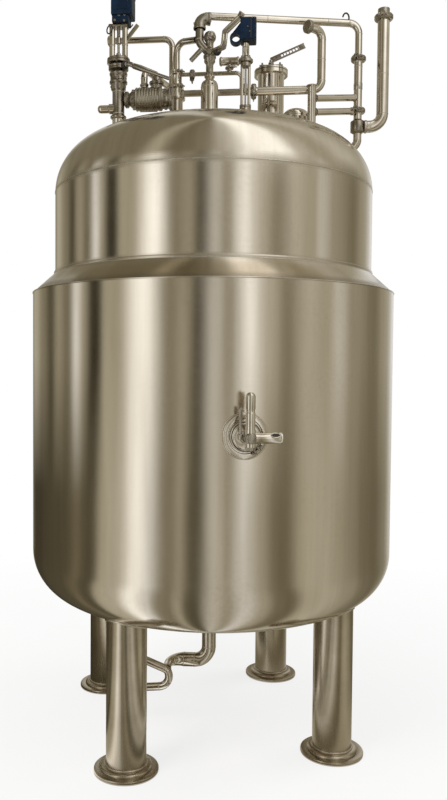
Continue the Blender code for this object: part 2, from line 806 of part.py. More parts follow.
def build_outlet():
    """The outlet drops from the inner head, turns in a reducing elbow and ends at the drain pipe."""
    inner_low = inner_bottom_profile()[-1][1]
    low = bottom_profile()[-1][1] - OUTLET_DROP
    joint = Vector((-OUTLET_RUN, -DRAIN_FRONT, low))
    corner = Vector((-OUTLET_RUN, 0.0, low))
    pipe(
        "outlet_pipe",
        [
            (0, 0, inner_low + 0.02),
            (0, 0, low),
            corner,
            short_of(joint, corner, MIDDLE_TUBE + GAP),
        ],
        OUTLET_RADIUS,
        OUTLET_BEND,
        POLISHED,
        end_radius=MIDDLE_TUBE,
    )
    top_end = joint + Vector((-DRAIN_TOP_REACH, 0.0, DRAIN_TOP_RISE))
    turn = joint + Vector((DRAIN_CORNER_REACH, 0.0, -DRAIN_CORNER_DROP))
    low_end = joint + Vector((-DRAIN_LOW_REACH, 0.0, -DRAIN_LOW_DROP))
    tube = pipe("drain_pipe", [top_end, joint, turn, low_end], MIDDLE_TUBE, DRAIN_BEND, POLISHED)
    rim = MIDDLE_TUBE + FERRULE_RIM
    half = FERRULE_THICKNESS
    profile = [(0.0, half), (rim, half), (rim, -half), (0.0, -half)]
    caps = [
        turned("drain_cap", profile, POLISHED, end, end - before)
        for end, before in ((top_end, joint), (low_end, turn))
    ]
    joined(tube, *caps)


def nozzle(name, x, y, radius, top, rim=FERRULE_RIM):
    """A neck that follows the roof at its foot and ends in a ferrule."""
    low = roof_height(x, y) - 0.030
    item = turned(
        name,
        [
            (0.0, top),
            (radius + rim, top),
            (radius + rim, top - FERRULE_THICKNESS * 0.5),
            (radius, top - FERRULE_THICKNESS),
            (radius, low),
            (0.0, low),
        ],
        POLISHED,
        (x, y, 0),
    )
    boolean(item, ROOF_CUTTER, "DIFFERENCE")
    return item


def stack(name, x, y, low, steps, sides=TURNED_SIDES):
    """A turned body from (radius, height) pairs above its own foot, listed from the foot up."""
    rising = [(0.0, low)] + [(radius, low + height) for radius, height in steps]
    rising.append((0.0, low + steps[-1][1]))
    return turned(name, list(reversed(rising)), POLISHED, (x, y, 0), sides=sides)


def post(name, x, y, low, high, radius, sides=SMALL_SIDES):
    profile = [(0.0, high), (radius, high), (radius, low), (0.0, low)]
    return turned(name, profile, POLISHED, (x, y, 0), sides=sides)


def build_left_column():
    nozzle("left_nozzle", LEFT_X, LEFT_Y, LARGE_TUBE, LEFT_NOZZLE_TOP_Z)
    low = LEFT_NOZZLE_TOP_Z + GAP
    height = LEFT_VALVE_TOP_Z - low
    rim = LARGE_TUBE + FERRULE_RIM
    body = stack(
        "left_valve",
        LEFT_X,
        LEFT_Y,
        low,
        [
            (rim, 0.0),
            (rim, 0.004),
            (LARGE_TUBE, 0.008),
            (LARGE_TUBE, height - 0.118),
            (LEFT_BODY_RADIUS, height - 0.112),
            (LEFT_BODY_RADIUS, height - 0.092),
            (LEFT_RING_RADIUS, height - 0.087),
            (LEFT_RING_RADIUS, height - 0.080),
            (LEFT_BODY_RADIUS, height - 0.075),
            (LEFT_BODY_RADIUS, height - 0.060),
            (LEFT_RING_RADIUS, height - 0.054),
            (LEFT_RING_RADIUS, height - 0.047),
            (LARGE_TUBE, height - 0.041),
            (LEFT_CUP_RADIUS, height - LEFT_CUP_DROP - 0.008),
            (LEFT_CUP_RADIUS, height - LEFT_CUP_DROP + 0.008),
            (LEFT_BODY_RADIUS, height - LEFT_CUP_DROP + 0.012),
            (LEFT_BODY_RADIUS, height - 0.010),
            (LEFT_PLATE_RADIUS, height - 0.010),
            (LEFT_PLATE_RADIUS, height),
        ],
    )
    base_z = LEFT_VALVE_TOP_Z + GAP
    base = post("left_yoke", LEFT_X, LEFT_Y, base_z, base_z + YOKE_PLATE, LEFT_PLATE_RADIUS)
    top_z = LEFT_YOKE_TOP_Z
    width = LEFT_POST_SPREAD + LEFT_POST_RADIUS + 0.006
    top = post("left_yoke_top", LEFT_X, LEFT_Y, top_z - YOKE_PLATE, top_z, width)
    overlap = YOKE_PLATE / 2
    posts = [
        post("left_post", LEFT_X + side * LEFT_POST_SPREAD, LEFT_Y, base_z + overlap, top_z - overlap, radius)
        for side, radius in ((-1, LEFT_POST_RADIUS), (1, LEFT_POST_RADIUS), (0, LEFT_STEM_RADIUS))
    ]
    joined(base, top, *posts)
    neck_low = LEFT_YOKE_TOP_Z + GAP
    neck_top = neck_low + LEFT_ACTUATOR_NECK_HEIGHT
    neck = box(
        "left_actuator",
        (LEFT_ACTUATOR_NECK, LEFT_ACTUATOR_NECK, LEFT_ACTUATOR_NECK_HEIGHT + 0.010),
        (LEFT_X + LEFT_ACTUATOR_NECK_SHIFT, LEFT_Y, neck_low + (LEFT_ACTUATOR_NECK_HEIGHT + 0.010) / 2),
        BLUE,
    )
    housing = box(
        "left_housing",
        (LEFT_ACTUATOR_WIDTH, LEFT_ACTUATOR_DEPTH, LEFT_ACTUATOR_HEIGHT),
        (LEFT_X + LEFT_ACTUATOR_SHIFT, LEFT_Y, neck_top + LEFT_ACTUATOR_HEIGHT / 2),
        BLUE,
        bevel=0.008,
    )
    joined(neck, housing)
    outward = Vector((1.0, -1.0, 0.0)).normalized()
    hub = Vector((LEFT_X, LEFT_Y, LEFT_VALVE_TOP_Z - LEFT_CUP_DROP))
    grip = hub + outward * (LEFT_CUP_RADIUS + GAP)
    elbow = grip + outward * (LEFT_CUP_RADIUS / 2)
    end = elbow + Vector((LEFT_HANDLE_REACH, -LEFT_HANDLE_SIDE, -LEFT_HANDLE_DROP))
    pipe("left_handle", [grip, elbow, end], LEFT_HANDLE_RADIUS, LEFT_CUP_RADIUS / 2, POLISHED)
    coupling = turned(
        "left_coupling",
        [
            (0.0, 0.084),
            (0.010, 0.082),
            (0.016, 0.074),
            (0.016, 0.036),
            (0.020, 0.034),
            (0.020, 0.0),
            (0.0, 0.0),
        ],
        POLISHED,
        (LEFT_X, LEFT_Y, low + 0.035),
        (-1, 0, 0),
        sides=SMALL_SIDES,
    )
    joined(body, coupling)


def build_block():
    """The horizontal valve body between the left column and the return stack, with its bonnet."""
    length = BLOCK_LENGTH
    middle = length * 0.52
    wide = BLOCK_RADIUS
    profile = [
        (0.0, length),
        (wide, length),
        (wide, length - 0.012),
        (wide * 0.83, length - 0.016),
        (wide * 0.83, length - 0.040),
        (wide, length - 0.045),
        (wide, middle + 0.005),
        (wide * 0.93, middle),
        (wide, middle - 0.005),
        (wide, 0.050),
        (wide * 0.83, 0.044),
        (BLOCK_NECK, 0.022),
        (0.032, 0.016),
        (0.032, 0.006),
        (0.022, 0.0),
        (0.0, 0.0),
    ]
    body = turned("block_valve", profile, POLISHED, (BLOCK_START_X, LEFT_Y, BLOCK_Z), (1, 0, 0))
    bonnet = stack(
        "block_bonnet",
        BLOCK_START_X + BONNET_PLACE,
        LEFT_Y,
        BLOCK_Z + wide - 0.012,
        [(0.022, 0.0), (0.022, 0.020), (0.029, 0.022), (0.029, 0.032), (0.018, 0.036), (0.018, 0.050), (0.010, 0.056)],
    )
    joined(body, bonnet)


def build_return_stack():
    """The roof nozzle with stacked clamps that takes the bent pipe from the centre valve."""
    neck_top = RETURN_TOP_Z - RETURN_STACK_HEIGHT
    nozzle("return_nozzle", RETURN_X, RETURN_Y, MIDDLE_TUBE + 0.010, neck_top, 0.010)
    low = neck_top + GAP
    height = RETURN_TOP_Z - low
    wide = MIDDLE_TUBE + 0.020
    stack(
        "return_tee",
        RETURN_X,
        RETURN_Y,
        low,
        [
            (wide, 0.0),
            (wide, 0.005),
            (0.024, 0.007),
            (0.024, 0.040),
            (0.030, 0.044),
            (0.030, 0.052),
            (0.024, 0.056),
            (0.022, height - 0.020),
            (0.028, height - 0.014),
            (0.028, height),
        ],
    )
    corner = Vector((RETURN_X, RETURN_Y, RETURN_PIPE_Z + RETURN_PIPE_FALL))
    branch = Vector((HEADER_START_X, CENTRE_Y, RETURN_PIPE_Z))
    lean = SMALL_TUBE * RETURN_PIPE_FALL / (branch - corner).length
    pipe(
        "return_pipe",
        [
            (RETURN_X, RETURN_Y, RETURN_TOP_Z + GAP),
            corner,
            short_of(branch, corner, MIDDLE_TUBE + lean + GAP),
        ],
        SMALL_TUBE,
        0.036,
        POLISHED,
    )


def build_supply_pipe():
    """The upper left pipe from its coupling, over, down and forward onto the block."""
    tube = pipe(
        "supply_pipe",
        [
            (SUPPLY_END_X, SUPPLY_Y, SUPPLY_Z),
            (SUPPLY_TURN_X, SUPPLY_Y, SUPPLY_Z),
            (SUPPLY_TURN_X, SUPPLY_Y, SUPPLY_LOW_Z),
            (SUPPLY_LAND_X, LEFT_Y, SUPPLY_LOW_Z),
            (SUPPLY_LAND_X, LEFT_Y, BLOCK_Z + BLOCK_RADIUS + GAP),
        ],
        SMALL_TUBE,
        0.036,
        POLISHED,
    )
    rim = SMALL_TUBE + FERRULE_RIM
    back = -CLAMP_HEIGHT * 1.4
    coupling = turned(
        "supply_coupling",
        [(0.0, 0.0), (rim, 0.0), (rim, -CLAMP_HEIGHT), (SMALL_TUBE, back), (0.0, back)],
        POLISHED,
        (SUPPLY_END_X, SUPPLY_Y, SUPPLY_Z),
        (-1, 0, 0),
    )
    joined(tube, coupling)


def build_centre():
    """The bottle-shaped centre nozzle, the valve over it and the valve's bent lever."""
    low = roof_height(CENTRE_X, CENTRE_Y) - 0.030
    top = CENTRE_NOZZLE_TOP_Z
    radius = CENTRE_NOZZLE_RADIUS
    shoulder = [
        (radius * (0.55 + 0.45 * math.cos(turn)), top - 0.045 + 0.026 * math.sin(turn))
        for turn in (math.radians(80), math.radians(55), math.radians(25), 0.0)
    ]
    mouth = [(0.0, top), (0.021, top), (0.021, top - 0.008), (0.016, top - 0.012)]
    bottle = turned(
        "centre_nozzle",
        mouth + shoulder + [(radius, low), (0.0, low)],
        POLISHED,
        (CENTRE_X, CENTRE_Y, 0),
    )
    boolean(bottle, ROOF_CUTTER, "DIFFERENCE")
    foot = top + GAP
    height = CENTRE_VALVE_TOP_Z - foot
    neck = CENTRE_NECK_RADIUS
    body = CENTRE_BODY_RADIUS
    ball = [
        (CENTRE_BALL_RADIUS * math.sin(turn), CENTRE_BALL_RISE - CENTRE_BALL_RADIUS * math.cos(turn))
        for turn in (math.radians(40), math.radians(65), math.radians(90), math.radians(115), math.radians(150))
    ]
    lower = stack(
        "centre_valve",
        CENTRE_X,
        CENTRE_Y,
        foot,
        [
            (0.021, 0.0),
            (0.021, 0.008),
            (neck, 0.012),
            (neck, 0.046),
            (body, 0.056),
            (body, 0.070),
            (body * 1.15, 0.073),
            (body * 1.15, 0.080),
            (body, 0.083),
            (body, 0.104),
            (neck, 0.112),
            (neck, 0.124),
        ]
        + ball,
    )
    branch = pipe(
        "centre_branch",
        [
            (CENTRE_X, CENTRE_Y, foot + 0.088),
            (HEADER_START_X, CENTRE_Y, foot + 0.136),
            (HEADER_START_X, CENTRE_Y, foot + height),
        ],
        MIDDLE_TUBE,
        0.030,
        POLISHED,
    )
    hub = Vector((CENTRE_X, CENTRE_Y - CENTRE_BODY_RADIUS / 2, foot + CENTRE_LEVER_LOW))
    reach = CENTRE_LEVER_REACH
    rise = CENTRE_LEVER_HEIGHT
    side = -CENTRE_LEVER_SIDE
    lever = pipe(
        "centre_lever",
        [
            hub,
            hub + Vector((CENTRE_LEVER_BEND, side, 0.0)),
            hub + Vector((CENTRE_LEVER_BEND * 1.08, side, rise * 0.44)),
            hub + Vector((reach * 0.94, side, rise * 0.87)),
            hub + Vector((reach, side, rise)),
        ],
        CENTRE_LEVER_RADIUS,
        CENTRE_LEVER_RADIUS * 1.2,
        POLISHED,
    )
    reach = CENTRE_HANDLE_REACH
    drop = CENTRE_HANDLE_DROP
    handle = pipe(
        "centre_handle",
        [
            hub + Vector((0.0, 0.0, 0.006)),
            hub + Vector((-reach * 0.40, -reach * 0.40, 0.006)),
            hub + Vector((-reach, -reach * 0.40, -drop)),
        ],
        CENTRE_HANDLE_RADIUS,
        CENTRE_HANDLE_RADIUS * 1.2,
        POLISHED,
    )
    joined(lower, branch, lever, handle)


def build_header():
    """The header from the centre valve, over and down to the right shoulder, with its clamps."""
    start = Vector((HEADER_START_X, CENTRE_Y, CENTRE_VALVE_TOP_Z + GAP))
    turn = Vector((HEADER_START_X, CENTRE_Y, HEADER_Z))
    across = (Vector((DOWN_X, DOWN_Y, HEADER_Z)) - turn).normalized()
    tube = pipe(
        "header_pipe",
        [
            turn + across * (HEADER_ELBOW_REACH / 2),
            (DOWN_X, DOWN_Y, HEADER_Z),
            (DOWN_X, DOWN_Y, DOWN_UPPER_JOINT_Z + GAP / 2),
        ],
        HEADER_TUBE,
        0.042,
        POLISHED,
    )
    sunk = turn - Vector((0.0, 0.0, HEADER_ELBOW_RADIUS - HEADER_TUBE))
    neck = pipe("header_neck", [start, turn], MIDDLE_TUBE, 0.030, POLISHED)
    elbow = pipe(
        "header_elbow",
        [start + Vector((0.0, 0.0, 0.012)), sunk, sunk + across * HEADER_ELBOW_REACH],
        HEADER_ELBOW_RADIUS,
        0.030,
        POLISHED,
    )
    joined(elbow, neck, tube).name = "header_pipe"
    pipe(
        "down_pipe",
        [(DOWN_X, DOWN_Y, DOWN_UPPER_JOINT_Z - GAP / 2), (DOWN_X, DOWN_Y, DOWN_LOWER_JOINT_Z + GAP / 2)],
        MIDDLE_TUBE,
        0.040,
        POLISHED,
    )
    clamp("down_clamp_upper", DOWN_X, DOWN_Y, DOWN_UPPER_JOINT_Z, MIDDLE_TUBE)
    clamp("down_clamp_lower", DOWN_X, DOWN_Y, DOWN_LOWER_JOINT_Z, MIDDLE_TUBE)
    tilt = SHOULDER_NOZZLE_TILT
    inner = VESSEL_RADIUS - ROOF_KNUCKLE_RADIUS
    foot = ROOF_KNUCKLE_RADIUS - 0.020
    corner_z = ROOF_WELD_Z + (DOWN_X - inner) / math.tan(tilt)
    tube = pipe(
        "shoulder_nozzle",
        [
            (inner + foot * math.sin(tilt), DOWN_Y, ROOF_WELD_Z + foot * math.cos(tilt)),
            (DOWN_X, DOWN_Y, corner_z),
            (DOWN_X, DOWN_Y, DOWN_LOWER_JOINT_Z - GAP / 2),
        ],
        MIDDLE_TUBE,
        0.030,
        POLISHED,
    )
    tee = stack(
        "shoulder_tee",
        DOWN_X,
        DOWN_Y,
        TEE_Z - 0.030,
        [(MIDDLE_TUBE, 0.0), (TEE_RADIUS, 0.008), (TEE_RADIUS, 0.052), (MIDDLE_TUBE, 0.060)],
    )
    landing = joined(tube, tee)
    boolean(landing, ROOF_CUTTER, "DIFFERENCE")


def clamp(name, x, y, z, radius):
    """A two-bolt clamp ring round the joint of two tubes."""
    bore = clear_bore(radius)
    rim = radius + FERRULE_RIM + CLAMP_WALL
    half = CLAMP_HEIGHT / 2
    return turned(
        name,
        [
            (bore + 0.003, half),
            (rim - 0.004, half),
            (rim, half - 0.005),
            (rim, -half + 0.005),
            (rim - 0.004, -half),
            (bore + 0.003, -half),
            (bore, -half + 0.003),
            (bore, half - 0.003),
        ],
        POLISHED,
        (x, y, z),
        closed=True,
    )


def build_riser():
    """The large pipe from the shoulder tee up to its union, where the plant's own pipe would begin."""
    pipe(
        "riser_pipe",
        [
            (DOWN_X + TEE_RADIUS + GAP, DOWN_Y, TEE_Z),
            (RISER_X, DOWN_Y, TEE_Z),
            (RISER_X, DOWN_Y, RISER_JOINT_Z - GAP / 2),
        ],
        LARGE_TUBE,
        0.050,
        POLISHED,
    )
    bore = LARGE_TUBE - TUBE_WALL
    outer = clear_bore(LARGE_TUBE)
    rim = LARGE_TUBE + FERRULE_RIM + CLAMP_WALL
    half = CLAMP_HEIGHT / 2
    turned(
        "riser_union",
        [
            (bore, RISER_TOP_Z),
            (LARGE_TUBE, RISER_TOP_Z),
            (LARGE_TUBE, RISER_JOINT_Z + half),
            (rim - 0.004, RISER_JOINT_Z + half),
            (rim, RISER_JOINT_Z + half - 0.005),
            (rim, RISER_JOINT_Z - half + 0.005),
            (rim - 0.004, RISER_JOINT_Z - half),
            (outer, RISER_JOINT_Z - half),
            (outer, RISER_JOINT_Z + GAP / 2),
            (bore, RISER_JOINT_Z + GAP / 2),
        ],
        POLISHED,
        (RISER_X, DOWN_Y, 0),
        closed=True,
    )


def build_right_column():
    """The second valve column: base on the roof, posts, plate and the blue actuator with its lobe."""
    nozzle("right_base", RIGHT_X, RIGHT_Y, 0.014, RIGHT_BASE_TOP_Z, 0.008)
    low = RIGHT_BASE_TOP_Z + GAP
    base = post("right_yoke", RIGHT_X, RIGHT_Y, low, low + 0.009, 0.022)
    upper = post("right_plate", RIGHT_X, RIGHT_Y, RIGHT_PLATE_Z, RIGHT_PLATE_Z + 0.012, RIGHT_PLATE_RADIUS)
    seat = RIGHT_PLATE_Z + 0.004
    posts = [
        post("right_post", RIGHT_X + side * RIGHT_POST_SPREAD, RIGHT_Y, low + 0.004, seat, radius)
        for side, radius in ((-1, RIGHT_POST_RADIUS), (1, RIGHT_POST_RADIUS), (0, RIGHT_POST_RADIUS * 0.75))
    ]
    neck = post("right_neck", RIGHT_X, RIGHT_Y, RIGHT_PLATE_Z + 0.006, RIGHT_YOKE_TOP_Z, 0.013)
    joined(base, upper, neck, *posts)
    foot = RIGHT_YOKE_TOP_Z + GAP
    x = RIGHT_X + RIGHT_ACTUATOR_SHIFT
    housing = box(
        "right_actuator",
        (RIGHT_ACTUATOR_WIDTH, RIGHT_ACTUATOR_DEPTH, RIGHT_ACTUATOR_HEIGHT),
        (x, RIGHT_Y, foot + RIGHT_ACTUATOR_HEIGHT / 2),
        BLUE,
        bevel=0.006,
    )
    lobe_x = x - RIGHT_ACTUATOR_WIDTH / 2 - RIGHT_LOBE_RADIUS * 0.72
    lobe_z = foot + RIGHT_LOBE_RADIUS * 0.60
    thick = RIGHT_LOBE_THICKNESS / 2
    lobe = turned(
        "right_lobe",
        [(0.0, thick), (RIGHT_LOBE_RADIUS, thick), (RIGHT_LOBE_RADIUS, -thick), (0.0, -thick)],
        BLUE,
        (lobe_x, RIGHT_Y, lobe_z),
        (0, -1, 0),
    )
    inside = x - RIGHT_ACTUATOR_WIDTH / 4
    shoulder = foot + RIGHT_ACTUATOR_HEIGHT - 0.008
    web = prism(
        "right_web",
        [
            (inside, foot + 0.008),
            (inside, shoulder),
            (x - RIGHT_ACTUATOR_WIDTH / 2 + 0.004, shoulder),
            (lobe_x - RIGHT_LOBE_RADIUS * 0.70, lobe_z + RIGHT_LOBE_RADIUS * 0.70),
            (lobe_x, lobe_z - RIGHT_LOBE_RADIUS * 0.90),
        ],
        RIGHT_LOBE_THICKNESS * 0.9,
        RIGHT_Y,
        BLUE,
    )
    actuator = joined(housing, lobe, web)
    reach = RIGHT_LOBE_THICKNESS
    bore = turned(
        "right_lobe_bore",
        [(0.0, reach), (RIGHT_LOBE_BORE, reach), (RIGHT_LOBE_BORE, -reach), (0.0, -reach)],
        BLUE,
        (lobe_x, RIGHT_Y, lobe_z),
        (0, -1, 0),
        sides=SMALL_SIDES,
    )
    boolean(actuator, as_cutter(bore), "DIFFERENCE")


def build_cross_pipe():
    """The low pipe from the return stack to the inner loop, which rises and ends in a capped ferrule."""
    start = RETURN_X + 0.024 + GAP
    pipe(
        "cross_pipe",
        [(start, CROSS_Y, CROSS_Z), (CROSS_JOINT_X - GAP / 2, CROSS_Y, CROSS_Z)],
        SMALL_TUBE,
        0.040,
        POLISHED,
    )
    end = Vector((LOOP_X - LOOP_BACK, CROSS_Y - LOOP_SIDE, LOOP_TOP_Z))
    loop = pipe(
        "loop_pipe",
        [
            (CROSS_JOINT_X + GAP / 2, CROSS_Y, CROSS_Z),
            (LOOP_X, CROSS_Y, CROSS_Z),
            (LOOP_X, CROSS_Y, LOOP_TOP_Z),
            end,
        ],
        MIDDLE_TUBE,
        0.034,
        POLISHED,
    )
    joint = clamp("cross_clamp", CROSS_JOINT_X, CROSS_Y, CROSS_Z, MIDDLE_TUBE)
    aim(joint, (CROSS_JOINT_X, CROSS_Y, CROSS_Z), (1, 0, 0))
    cap = turned(
        "loop_cap",
        [(0.0, 0.014), (0.022, 0.014), (0.026, 0.009), (0.026, -0.004), (0.0, -0.004)],
        POLISHED,
        end,
        (-LOOP_BACK, -LOOP_SIDE, 0.0),
    )
    joined(loop, cap)


def build_hand_hole():
    """The small hand hole: a tall neck, a rim, a lid, and the clamp arm with its slanted lever."""
    low = roof_height(HAND_X, HAND_Y) - 0.050
    outer = HAND_NECK_RADIUS
    inner = outer - HAND_NECK_WALL
    rim_low = HAND_RIM_Z - HAND_RIM_THICKNESS
    neck = turned(
        "hand_hole_neck",
        [
            (inner, HAND_RIM_Z),
            (HAND_RIM_RADIUS, HAND_RIM_Z),
            (HAND_RIM_RADIUS, rim_low),
            (outer, rim_low),
            (outer, low),
            (inner, low),
        ],
        POLISHED,
        (HAND_X, HAND_Y, 0),
        sides=LEG_SIDES,
        closed=True,
    )
    boolean(neck, ROOF_CUTTER, "DIFFERENCE")
    lid_low = HAND_RIM_Z + GAP
    stack(
        "hand_hole_lid",
        HAND_X,
        HAND_Y,
        lid_low,
        [
            (HAND_RIM_RADIUS, 0.0),
            (HAND_RIM_RADIUS, 0.008),
            (HAND_RIM_RADIUS - 0.006, 0.011),
            (HAND_RIM_RADIUS * 0.6, HAND_LID_THICKNESS),
        ],
        sides=LEG_SIDES,
    )
    arm_low = lid_low + HAND_LID_THICKNESS + GAP
    arm = post("hand_hole_arm", HAND_X, HAND_Y, arm_low, HAND_ARM_Z, HAND_ARM_RADIUS)
    bar = box("hand_bar", HAND_BAR_SIZE, (HAND_X, HAND_Y, HAND_ARM_Z - 0.011), POLISHED)
    lever = pipe(
        "hand_hole_lever",
        [
            (HAND_X, HAND_Y, HAND_ARM_Z - 0.003),
            (HAND_X, HAND_Y, HAND_ARM_Z + HAND_LEVER_ELBOW),
            (HAND_X + HAND_LEVER_REACH, HAND_Y, HAND_ARM_Z + HAND_LEVER_HEIGHT),
        ],
        HAND_LEVER_RADIUS,
        HAND_LEVER_RADIUS * 1.2,
        POLISHED,
    )
    joined(arm, bar, lever)


def build_sight_port():
    """The small port beside the hand hole, with a rim and a domed cover."""
    low = roof_height(SIGHT_X, SIGHT_Y) - 0.030
    neck_top = ROOF_TOP_Z + SIGHT_RISE
    rim_top = neck_top + SIGHT_RIM_THICKNESS
    dome = [
        (SIGHT_RIM_RADIUS * 0.92 * math.cos(turn), rim_top + SIGHT_DOME * math.sin(turn))
        for turn in (math.radians(60), math.radians(30), 0.0)
    ]
    port = turned(
        "sight_port",
        [(0.0, rim_top + SIGHT_DOME)]
        + dome
        + [
            (SIGHT_RIM_RADIUS, rim_top),
            (SIGHT_RIM_RADIUS, neck_top),
            (SIGHT_NECK_RADIUS, neck_top),
            (SIGHT_NECK_RADIUS, low),
            (0.0, low),
        ],
        POLISHED,
        (SIGHT_X, SIGHT_Y, 0),
    )
    boolean(port, ROOF_CUTTER, "DIFFERENCE")


def build_vent():
    """The vent stack and the two short links from it to the down pipe and its lower clamp."""
    nozzle("vent_nozzle", VENT_X, VENT_Y, MIDDLE_TUBE, VENT_TOP_Z, 0.006)
    clamp_rim = MIDDLE_TUBE + FERRULE_RIM + CLAMP_WALL
    for name, height, stop in (
        ("link_upper", LINK_UPPER_Z, MIDDLE_TUBE),
        ("link_lower", DOWN_LOWER_JOINT_Z, clamp_rim),
    ):
        vent = Vector((VENT_X, VENT_Y, height - LINK_FALL))
        down = Vector((DOWN_X, DOWN_Y, height))
        lean = LINK_RADIUS * LINK_FALL / (down - vent).length
        start = short_of(vent, down, MIDDLE_TUBE + lean + GAP)
        end = short_of(down, vent, stop + lean + GAP)
        pipe(name, [start, end], LINK_RADIUS, LINK_RADIUS, POLISHED)


build_shells()
build_shoulder()
build_legs()
build_port()
build_outlet()
build_left_column()
build_block()
build_return_stack()
build_supply_pipe()
build_centre()
build_header()
build_riser()
build_right_column()
build_cross_pipe()
build_hand_hole()
build_sight_port()
build_vent()
for item in PARTS.objects:
    if item.type == "MESH":
        smooth(item.data)
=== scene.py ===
"""Looks of the jacketed water storage tank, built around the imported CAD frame.

Metres, +Z up. The origin is on the floor, on the tank's axis. -Y is the front, with the sampling port.
"""

import math

import bmesh
import bpy
from mathutils import Matrix, Vector


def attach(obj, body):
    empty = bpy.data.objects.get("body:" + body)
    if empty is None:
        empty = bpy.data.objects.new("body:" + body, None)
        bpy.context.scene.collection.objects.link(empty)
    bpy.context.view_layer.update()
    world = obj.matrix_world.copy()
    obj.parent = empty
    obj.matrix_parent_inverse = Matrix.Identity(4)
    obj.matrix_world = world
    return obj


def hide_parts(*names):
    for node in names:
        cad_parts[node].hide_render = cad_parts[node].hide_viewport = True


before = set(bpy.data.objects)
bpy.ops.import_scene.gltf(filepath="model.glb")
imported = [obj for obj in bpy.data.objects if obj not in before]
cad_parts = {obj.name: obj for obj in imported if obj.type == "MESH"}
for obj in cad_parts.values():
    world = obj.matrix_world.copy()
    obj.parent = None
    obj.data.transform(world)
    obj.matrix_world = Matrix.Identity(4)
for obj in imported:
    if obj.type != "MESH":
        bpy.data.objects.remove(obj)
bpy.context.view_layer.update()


# Clearance between pieces that meet
GAP = 0.0003

# Jacket: the wider cladding, its shoulder and its dished bottom
JACKET_RADIUS = 0.750
JACKET_WALL = 0.003
JACKET_LOW_Z = 0.757
JACKET_HEIGHT = 1.051
SHOULDER_RISE = 0.079
SHOULDER_RIM = 0.005
SHOULDER_COLLAR = 0.012
BOTTOM_CROWN_RADIUS = 2.000
BOTTOM_KNUCKLE_RADIUS = 0.202
SHOULDER_LOW_Z = JACKET_LOW_Z + JACKET_HEIGHT
SHOULDER_TOP_Z = SHOULDER_LOW_Z + SHOULDER_RISE

# Vessel: the upper cylinder, its dished roof and its inner bottom
SHOULDER_WIDTH = 0.090
VESSEL_RADIUS = JACKET_RADIUS - SHOULDER_WIDTH
VESSEL_WALL = 0.004
VESSEL_LIFT = 0.103
UPPER_HEIGHT = 0.338
ROOF_CROWN_RADIUS = 2.200
ROOF_KNUCKLE_RADIUS = 0.228
VESSEL_LOW_Z = JACKET_LOW_Z + VESSEL_LIFT
ROOF_WELD_Z = SHOULDER_TOP_Z + UPPER_HEIGHT

# Where the roof's knuckle meets its crown, how far its crown's centre lies under the weld, and its top
ROOF_TANGENT = math.asin((VESSEL_RADIUS - ROOF_KNUCKLE_RADIUS) / (ROOF_CROWN_RADIUS - ROOF_KNUCKLE_RADIUS))
ROOF_SINK = (ROOF_CROWN_RADIUS - ROOF_KNUCKLE_RADIUS) * math.cos(ROOF_TANGENT)
ROOF_TOP_Z = ROOF_WELD_Z - ROOF_SINK + ROOF_CROWN_RADIUS

# Legs and feet
LEG_INSET = 0.175
LEG_CIRCLE_RADIUS = JACKET_RADIUS - LEG_INSET
LEG_FIRST_ANGLE = math.radians(-118.5)
LEG_RADIUS = 0.0762
FOOT_RADIUS = 0.122
FOOT_THICKNESS = 0.014
FOOT_STEP_RADIUS = 0.098
FOOT_STEP_HEIGHT = 0.014

# Tubes, by outside radius
SMALL_TUBE = 0.01345
MIDDLE_TUBE = 0.01685
LARGE_TUBE = 0.02415
TUBE_WALL = 0.0020
FERRULE_RIM = 0.008
FERRULE_THICKNESS = 0.007
CLAMP_HEIGHT = 0.022
CLAMP_WALL = 0.006

# Front sampling port
PORT_ANGLE = math.radians(12.5)
PORT_RISE = 0.523
PORT_Z = JACKET_LOW_Z + PORT_RISE
PORT_FLANGE_RADIUS = 0.077
PORT_FLANGE_THICKNESS = 0.010
PORT_CLAMP_RADIUS = 0.056
PORT_CLAMP_THICKNESS = 0.024
PORT_VALVE_REACH = 0.055
PORT_VALVE_RADIUS = 0.021
PORT_STEM_RADIUS = 0.016
PORT_STEM_HEIGHT = 0.150
PORT_STEM_TAIL = 0.030
PORT_SPOUT_LENGTH = 0.105
PORT_SPOUT_RADIUS = 0.019
PORT_SPOUT_BORE = 0.015
PORT_SPOUT_BORE_DEPTH = 0.060
PORT_NUT_RADIUS = 0.018
PORT_NUT_THICKNESS = 0.014
PORT_ROD_RADIUS = 0.0070
PORT_ROD_OFFSET = 0.026
PORT_ROD_HEIGHT = 0.100

# Bottom outlet with its reducing elbow, and the drain pipe that it runs into
OUTLET_DROP = 0.229
OUTLET_RUN = 0.170
OUTLET_BEND = 0.062
OUTLET_RADIUS = 0.0302
DRAIN_FRONT = 0.125
DRAIN_TOP_REACH = 0.185
DRAIN_TOP_RISE = 0.072
DRAIN_CORNER_REACH = 0.058
DRAIN_CORNER_DROP = 0.066
DRAIN_LOW_REACH = 0.195
DRAIN_LOW_DROP = 0.090
DRAIN_BEND = 0.045

